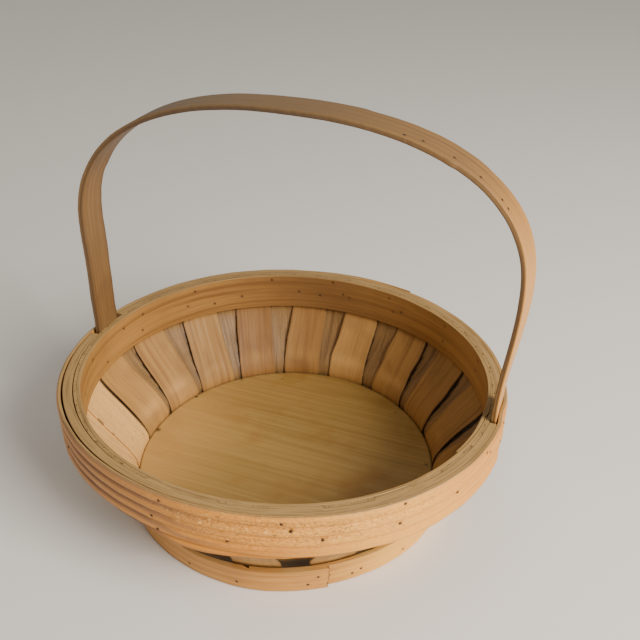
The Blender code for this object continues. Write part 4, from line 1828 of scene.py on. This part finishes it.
@dataclass
class Handle:
    """The bent strap, carried along its middle line in the XZ plane.

    Attributes:
        stations: Steps along the strap.
        steps: Steps across it.
        ease: How much of each corner is taken off.
        ripple: How far its faces ripple.
        dent_depth, dent_radius: Depth and radius of the dent round a tack's head.
    """

    stations: int = 900
    steps: int = 26
    ease: float = 0.0005
    ripple: float = 0.00008
    dent_depth: float = 0.0002
    dent_radius: float = 0.0013

    def middle(self) -> Array:
        """The strap's middle line from the right leg over the crown to the left one.

        On each side a straight foot, a flank that eases from the leg out to the widest
        point, and a quarter of a superellipse up to the crown, at equal steps of length.

        Returns:
            Rows of x, z and the length along the line.
        """
        leg = STRAP.leg_inside + STRAP.thickness / 2
        foot = SHAPE.rim_height - SHAPE.outer_height + STRAP.leg_lift
        crown = STRAP.top - STRAP.thickness / 2
        sides = []
        for direction, (span, widest, power) in ((1, STRAP.right), (-1, STRAP.left)):
            share = np.linspace(0, 1, 120)[:-1]
            across = direction * mix(leg, span, smooth(share))
            rise = mix(SHAPE.rim_height, widest, share)
            angle = np.linspace(0, math.pi / 2, 500)
            reach = np.maximum(np.cos(angle), 0) ** (2 / power)
            arch_x = mix(STRAP.crown, direction * span, reach)
            arch_z = mix(widest, crown, np.sin(angle) ** (2 / power))
            x = np.concatenate(([direction * leg], across, arch_x))
            z = np.concatenate(([foot], rise, arch_z))
            sides.append(np.stack([x, z], 1))
        line = np.concatenate((sides[0], sides[1][-2::-1]))
        length = np.concatenate(([0], np.cumsum(np.linalg.norm(np.diff(line, axis=0), axis=1))))
        wanted = np.linspace(0, length[-1], self.stations)
        x, z = np.interp(wanted, length, line[:, 0]), np.interp(wanted, length, line[:, 1])
        return np.stack([x, z, wanted], 1)

    def frame(self) -> tuple[Array, Array, Array, Array]:
        """The line's own directions.

        Returns:
            At each station x and z, the length from the right rim, the outward direction
            and the twist.
        """
        x, z, length = self.middle().T
        run, rise = np.gradient(x, length), np.gradient(z, length)
        size = np.hypot(run, rise)
        outward = np.stack([rise / size, -run / size], 1)
        share = (z - SHAPE.rim_height) / (STRAP.twist_height - SHAPE.rim_height)
        twisted = np.where((x > 0) & (share > 0) & (share < 1), np.sin(math.pi * share), 0.0)
        foot = SHAPE.outer_height - STRAP.leg_lift
        return np.stack([x, z], 1), length - foot, outward, STRAP.twist * twisted

    def place(self, middle: Array, outward: Array, twist: Array, out: Array, side: Array) -> Array:
        """Points of the strap.

        Args:
            middle: x and z of the line.
            outward: Its outward direction.
            twist: How far the section is turned about the line.
            out: Metres outward of the line.
            side: Metres across the strap.

        Returns:
            Rows of x, y and z.
        """
        out_twisted = out * np.cos(twist) + side * np.sin(twist)
        side_twisted = side * np.cos(twist) - out * np.sin(twist)
        x = middle[..., 0] + outward[..., 0] * out_twisted
        z = middle[..., 1] + outward[..., 1] * out_twisted
        return np.stack([x, STRAP.set_back + side_twisted, z], -1)

    def edges(self, length: Array) -> tuple[Array, Array]:
        """How far the two edges stray along the strap, with their nicks.

        Args:
            length: Metres from the right rim.

        Returns:
            The stray of the near and of the far edge towards the far side.
        """
        near, far = (
            np.abs(
                wander(length, seed, wavelength=0.08, size=0.00025)
                + wander(length, seed + 1, wavelength=0.012, size=0.00006)
            )
            for seed in (71, 73)
        )
        for nick in NICKS:
            if nick.far:
                far = far + nick.cut(length)
            else:
                near = near + nick.cut(length)
        return near, -far

    def hollow(self, height: Array, side: Array) -> Array:
        """How far the legs' inner faces are hollowed to the wall's curve below the rim.

        Args:
            height: Heights of the points.
            side: Metres across the strap.

        Returns:
            The depth of the hollow, in metres.
        """
        reach = rim_reach(STRAP.wall_outside, STRAP.set_back + side)
        held = smooth((SHAPE.rim_height - height) / 0.001)
        return held * (STRAP.leg_inside - reach - GAP)

    def build(self) -> None:
        """Carries the strap's section along the line, with its nicks and tack dents."""
        middle, length, outward, twist = self.frame()
        middle, outward = middle[:, None, :], outward[:, None, :]
        length, twist = length[:, None], twist[:, None]
        steps = (self.steps, 6, self.steps)
        across, through = board_section(STRAP.width, STRAP.thickness, self.ease, steps)
        face = through / STRAP.thickness
        side = across - STRAP.width / 2 + mix(*self.edges(length), across / STRAP.width)
        thin = -np.abs(wander(length, 75, wavelength=0.09, size=0.0002)) * (face - 0.5)
        ripple = self.ripple * (patches(length * 60, across * 300, 76) - 1)
        out = through - STRAP.thickness / 2 + thin + ripple
        out = out - self.hollow(middle[..., 1], side) * (1 - smooth(face))
        front = smooth(face * 2 - 1)
        edges = bump(across, radius=0.0010) + bump(across - STRAP.width, radius=0.0010)
        grime_and_shade = 0.12 * edges + 0.5 * bump(length, radius=0.0010)
        for spot, offset in STRAP_TACKS:
            away = np.hypot(length - spot, side - offset)
            out = out - self.dent_depth * bump(away, self.dent_radius) * front
            round_head = 0.6 * bump(away, radius=0.0009) + 0.15 * bump(away, radius=0.0025)
            grime_and_shade = grime_and_shade + front * round_head
        points = self.place(middle, outward, twist, out, side)
        grain = np.stack(np.broadcast_arrays(length, across, through + 0 * length), -1)
        lit = 0.85 * bump(length - 0.06, radius=0.12) * front
        crown = 0.85 * bump(length - 0.33, radius=0.13)
        left = 0.3 * smooth((length - 0.46) / 0.06)
        marks = {
            "grime_and_shade": np.clip(grime_and_shade, 0, 1),
            "tone": lit - crown - left,
            "weather": 0.25 * bump(length - 0.34, radius=0.12) * front,
        }
        piece = Strip(points, grain, marks).build("bent_handle", 77)
        dress(piece, HANDLE_WOOD.material(), ["handle"])


# Dark marks near the board's edge: azimuth seen from the camera, radius and size
BOARD_MARKS = (
    (136.2, 0.1085, 0.0016),
    (162.5, 0.1080, 0.0022),
    (112.9, 0.1075, 0.0012),
    (100.8, 0.1075, 0.0009),
    (94.0, 0.1010, 0.0006),
    (68.2, 0.1045, 0.0008),
    (31.4, 0.1030, 0.0012),
    (-4.5, 0.1060, 0.0014),
)


@dataclass
class FloorBoard:
    """The round floor board, its grain along X.

    Attributes:
        rings: Rings of faces on the upper face.
        segments: Faces in a ring.
        ease: How much of its two edges is taken off.
        warp, ripple: How far the upper face is warped and rippled.
        shaded: Where the corner by the wall is darkened with painted shade.
        corner: Radius where that painted shade begins, and over how much it grows.
        specks: Number of small dark specks.
    """

    rings: int = 90
    segments: int = 300
    ease: float = 0.0006
    warp: float = 0.0003
    ripple: float = 0.0001
    shaded: Stretch = Stretch(-75, 0.75, 0.85)
    corner: tuple[float, float] = (0.0965, 0.006)
    specks: int = 26

    def outline(self) -> tuple[Array, Array]:
        """The outline from the middle of the upper face to the middle of the lower face.

        Returns:
            Its radii and heights, with both edges eased.
        """
        radius, low, high = SHAPE.board_radius, SHAPE.board_lift, SHAPE.floor_top
        ease, cut = self.ease, 0.3 * self.ease
        flat = np.linspace(0.002, radius - ease, self.rings)
        below = flat[::-3]
        r = np.concatenate((flat, [radius - cut, radius, radius, radius - cut], below))
        edge = [high - cut, high - ease, low + ease, low + cut]
        return r, np.concatenate((np.full_like(flat, high), edge, np.full_like(below, low)))

    def dirt_and_shade(self, x: Array, y: Array, reach: Array) -> Array:
        """Dirt along the edge and in spots and specks, and painted shade in the corner by the front
        wall.

        Args:
            x, y: Places on the board.
            reach: Distance from its middle.

        Returns:
            The grime and painted shade at each point, from 0 to 1.
        """
        start, grows = self.corner
        # Painted shade in the corner by the front wall
        corner = smooth((reach - start) / grows) * self.shaded.at(np.arctan2(y, x))
        grime_and_shade = 0.45 * bump(reach - SHAPE.board_radius, radius=0.0012) + corner
        for azimuth, spot, size in BOARD_MARKS:
            direction = math.radians(azimuth + CAMERA_TURN)
            away = np.hypot(x - spot * math.cos(direction), y - spot * math.sin(direction))
            grime_and_shade = grime_and_shade + 0.9 * bump(away, size)
        rng = np.random.default_rng(83)
        for _ in range(self.specks):
            away = np.hypot((x - rng.uniform(-0.09, 0.09)) * 0.5, y - rng.uniform(-0.09, 0.09))
            grime_and_shade = grime_and_shade + rng.uniform(0.1, 0.3) * bump(away, radius=0.0007)
        return np.clip(grime_and_shade, 0, 1)

    def build(self) -> None:
        """Turns the board's outline round its axis, with its upper face warped."""
        r, z = self.outline()
        angle = np.arange(self.segments) * TURN / self.segments
        reach = r[:, None] * np.ones_like(angle)
        x, y = reach * np.cos(angle), reach * np.sin(angle)
        low, high = SHAPE.board_lift, SHAPE.floor_top
        upper = smooth((z[:, None] - low) / (high - low) * 2 - 1)
        uneven = self.warp * patches(x * 14 + 5, y * 22 + 5, 81)
        uneven = uneven + self.ripple * patches(x * 40, y * 260, 82) - self.warp
        level = z[:, None] + uneven * upper
        points = np.stack([x, y, level], -1).reshape(-1, 3)
        # Paler towards the left and darker towards the back: painted light on the lit side, painted
        # shade at the back
        paler = 0.42 * smooth(-x / 0.1) + 0.1 * smooth(x / 0.1)
        darker = 0.25 * smooth((y - 0.02) / 0.08)
        marks = {
            "grain": np.stack([x + 1.3, y + 0.7, level + 0.2], -1).reshape(-1, 3),
            "tone": (paler - darker).reshape(-1),
            "grime_and_shade": self.dirt_and_shade(x, y, reach).reshape(-1),
            "weather": np.zeros(reach.size),
            "torn": np.zeros(reach.size),
        }
        piece = new_piece("round_board", points, strip_faces(*reach.shape), marks)
        dress(piece, BOARD_WOOD.material(), ["floor_board"])


@dataclass
class Nails:
    """The nails, each a turned solid with a low domed head.

    Attributes:
        head_radius, shank_radius: Radii of the head and of the shank.
        segments: Sides of each.
        through_rim, in_board: Lengths of the nails through the rim and of those at the foot.
        tack, foot_tack, strap_tack: Lengths of the tacks.
    """

    head_radius: float = 0.0009
    shank_radius: float = 0.0005
    segments: int = 14
    through_rim: float = 0.0118
    in_board: float = 0.0125
    tack: float = 0.008
    foot_tack: float = 0.0035
    strap_tack: float = 0.0028

    def profile(self, length: float) -> Array:
        """The outline from the head's middle to the point.

        Args:
            length: How far the point is below the wood's face.

        Returns:
            Rows of radius and of height above that face.
        """
        head, shank = self.head_radius, self.shank_radius
        return np.array(
            (
                (0.0, 0.00018),
                (0.5 * head, 0.00014),
                (0.85 * head, 0.00004),
                (head, -0.00012),
                (0.95 * head, -0.0004),
                (shank, -0.0005),
                (shank, 0.0012 - length),
                (0.0, -length),
            )
        )

    def solids(self, heads: Sequence[Head]) -> tuple[Array, Faces]:
        """Turns one profile for each nail.

        Args:
            heads: For each nail the place of its head, its outward direction and its length.

        Returns:
            All points, and all faces as lists of point numbers.
        """
        points, faces = [], []
        angle = np.arange(self.segments) * TURN / self.segments
        up, along = np.array((0.0, 0.0, 1.0)), np.array((1.0, 0.0, 0.0))
        for place, outward, length in heads:
            outward = outward / np.linalg.norm(outward)
            side = np.cross(up if abs(outward[2]) < 0.9 else along, outward)
            side = side / np.linalg.norm(side)
            other = np.cross(outward, side)
            ring = np.cos(angle)[:, None] * side + np.sin(angle)[:, None] * other
            profile = self.profile(length)
            start = sum(len(block) for block in points)
            middle = [place + outward * height for _, height in profile]
            rings = [centre + radius * ring for (radius, _), centre in zip(profile, middle)][1:-1]
            points += [middle[0][None], *rings, middle[-1][None]]
            index = start + 1 + np.arange(len(rings) * self.segments).reshape(len(rings), -1)
            after = np.roll(index, -1, axis=1)
            quads = np.stack([index[:-1], index[1:], after[1:], after[:-1]], -1).reshape(-1, 4)
            last = start + 1 + index.size
            faces += quads.tolist()
            faces += [[start, int(a), int(b)] for a, b in zip(index[0], after[0])]
            faces += [[last, int(b), int(a)] for a, b in zip(index[-1], after[-1])]
        return np.concatenate(points), faces

    def on_hoop(self, hoop: Hoop, spots: Array, length: float) -> list[Head]:
        """Places nails on a hoop's front face, driven level towards or away from the axis.

        Args:
            hoop: The hoop.
            spots: Rows of azimuth and height.
            length: Length of each nail.

        Returns:
            One head for each nail.
        """
        heads = []
        for azimuth, height in spots:
            radius = float(hoop.front_radius(np.array(azimuth), np.array(height)))
            place = SHAPE.place(np.array(azimuth), np.array(radius), np.array(height))
            direction = hoop.grow * np.array((math.cos(azimuth), math.sin(azimuth), 0.0))
            heads.append((place + direction * 0.00005, direction, length))
        return heads

    def on_strap(self, handle: Handle) -> list[Head]:
        """Places the tacks in the strap's outer face.

        Args:
            handle: The handle.

        Returns:
            One head for each tack.
        """
        middle, length, outward, twist = handle.frame()
        out = np.array(STRAP.thickness / 2 - 0.00015)
        heads = []
        for spot, offset in STRAP_TACKS:
            k = int(np.argmin(np.abs(length - spot)))
            place = handle.place(middle[k], outward[k], twist[k], out, np.array(offset))
            heads.append((place, np.array((outward[k][0], 0.0, outward[k][1])), self.strap_tack))
        return heads

    def leg_spots(self) -> Array:
        """The nails through the handle's legs, one on each of the two middle ridges.

        Returns:
            Rows of azimuth and height.
        """
        outside = STRAP.leg_inside + STRAP.thickness
        low, size = OUTER_HOOP.low, SHAPE.outer_height
        ridges = OUTER_HOOP.grooves + 1
        spots = []
        for left in (False, True):
            for ridge, spread in ((2, 0.005), (1, -0.005)):
                offset = math.asin((STRAP.set_back + spread) / outside)
                azimuth = math.pi - offset if left else offset
                spots.append((azimuth, low + size * (ridge + 0.5) / ridges))
        return np.array(spots)

    def build(self, handle: Handle) -> None:
        """Makes each group of nails.

        Args:
            handle: The handle, whose strap has tacks of its own.
        """
        material = IronFinish().material()
        rim = [f"rim_nail_{n}" for n in range(1, 7)]
        foot = [f"foot_nail_{n}" for n in range(1, 10)]
        legs = [f"handle_nail_{side}_{n}" for side in ("right", "left") for n in (1, 2)]
        long, tack = self.through_rim, self.tack
        groups = (
            ("rim_nail_heads", self.on_hoop(OUTER_HOOP, RIM_NAILS.radians(), long), rim),
            ("outer_tacks", self.on_hoop(OUTER_HOOP, OUTER_TACKS.radians(), tack), []),
            ("leg_nail_heads", self.on_hoop(OUTER_HOOP, self.leg_spots(), long), legs),
            ("inner_tacks", self.on_hoop(INNER_HOOP, INNER_TACKS.radians(), tack), []),
            ("foot_nail_heads", self.on_hoop(FOOT_HOOP, FOOT_NAILS.radians(), self.in_board), foot),
            ("foot_tacks", self.on_hoop(FOOT_HOOP, FOOT_TACKS.radians(), self.foot_tack), []),
            ("strap_tacks", self.on_strap(handle), []),
        )
        for name, heads, nodes in groups:
            points, faces = self.solids(heads)
            dress(new_piece(name, points, faces, {}), material, nodes)


@dataclass
class Studio:
    """The pale floor, the soft lights and the camera at the photograph's angle.

    Attributes:
        location: Where the camera stands.
        pitch, heading: How it is turned, in radians.
        lens, sensor: Focal length and width of the picture, in millimetres.
        floor_size, floor_level: Half the floor's width, and its height just under the foot.
        window: Place, size and power of the large light.
        sky: Strength of the light from all round.
    """

    location: tuple[float, float, float] = (0.1900, -0.4213, 0.4214)
    pitch: float = math.radians(58)
    heading: float = math.radians(CAMERA_TURN)
    lens: float = 45.0
    sensor: float = 36.0
    floor_size: float = 4.0
    floor_level: float = -0.0002
    window: tuple[tuple[float, float, float], float, float] = ((1.28, -0.50, 0.95), 0.8, 46.0)
    sky: float = 0.5

    def build_floor(self) -> None:
        """A wide pale floor under the basket."""
        size, level = self.floor_size, self.floor_level
        corners = ((-size, -size), (size, -size), (size, size), (-size, size))
        mesh = bpy.data.meshes.new("studio_floor")
        mesh.from_pydata([(x, y, level) for x, y in corners], [], [(0, 1, 2, 3)])
        floor = bpy.data.objects.new("studio_floor", mesh)
        bpy.context.scene.collection.objects.link(floor)
        paint = bpy.data.materials.new("pale_paint")
        paint.use_nodes = True
        shader = paint.node_tree.nodes["Principled BSDF"]
        shader.inputs["Base Color"].default_value = linear("#E6E3DE")
        shader.inputs["Roughness"].default_value = 0.7
        mesh.materials.append(paint)

    def build_light(self) -> None:
        """A large window light from the right, turned to the basket, and a pale sky."""
        place, size, power = self.window
        lamp = bpy.data.lights.new("window", "AREA")
        lamp.size, lamp.energy = size, power
        lamp.color = linear("#FFF9F0")[:3]
        light = bpy.data.objects.new("window", lamp)
        bpy.context.scene.collection.objects.link(light)
        light.location = place
        x, y, z = place[0], place[1], place[2] - 0.1
        light.rotation_euler = (math.atan2(math.hypot(x, y), z), 0.0, math.atan2(x, -y))
        world = bpy.data.worlds.new("pale_sky")
        world.use_nodes = True
        background = world.node_tree.nodes["Background"]
        background.inputs["Color"].default_value = linear("#F4EEE4")
        background.inputs["Strength"].default_value = self.sky
        bpy.context.scene.world = world

    def build_camera(self) -> None:
        """The camera at the photograph's place, pitch and heading."""
        data = bpy.data.cameras.new("photo_camera")
        data.lens, data.sensor_width, data.clip_start = self.lens, self.sensor, 0.01
        camera = bpy.data.objects.new("photo_camera", data)
        bpy.context.scene.collection.objects.link(camera)
        camera.location = self.location
        camera.rotation_euler = (self.pitch, 0.0, self.heading)
        bpy.context.scene.camera = camera

    def build(self) -> None:
        """Sets up the whole studio."""
        self.build_floor()
        self.build_light()
        self.build_camera()


def main() -> None:
    """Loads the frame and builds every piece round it."""
    logging.basicConfig(level=logging.INFO, format="%(name)s: %(message)s")
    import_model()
    studio = Studio()
    studio.build()
    wall = Wall()
    wall.build_staves()
    wall.build_strips()
    rim = Rim(wall)
    rim.build_hoops()
    rim.build_fillers()
    dress(FOOT_HOOP.build(), FOOT_WOOD.material(), [FOOT_HOOP.node])
    FloorBoard().build()
    handle = Handle()
    handle.build()
    Nails().build(handle)


if __name__ == "__main__":
    main()
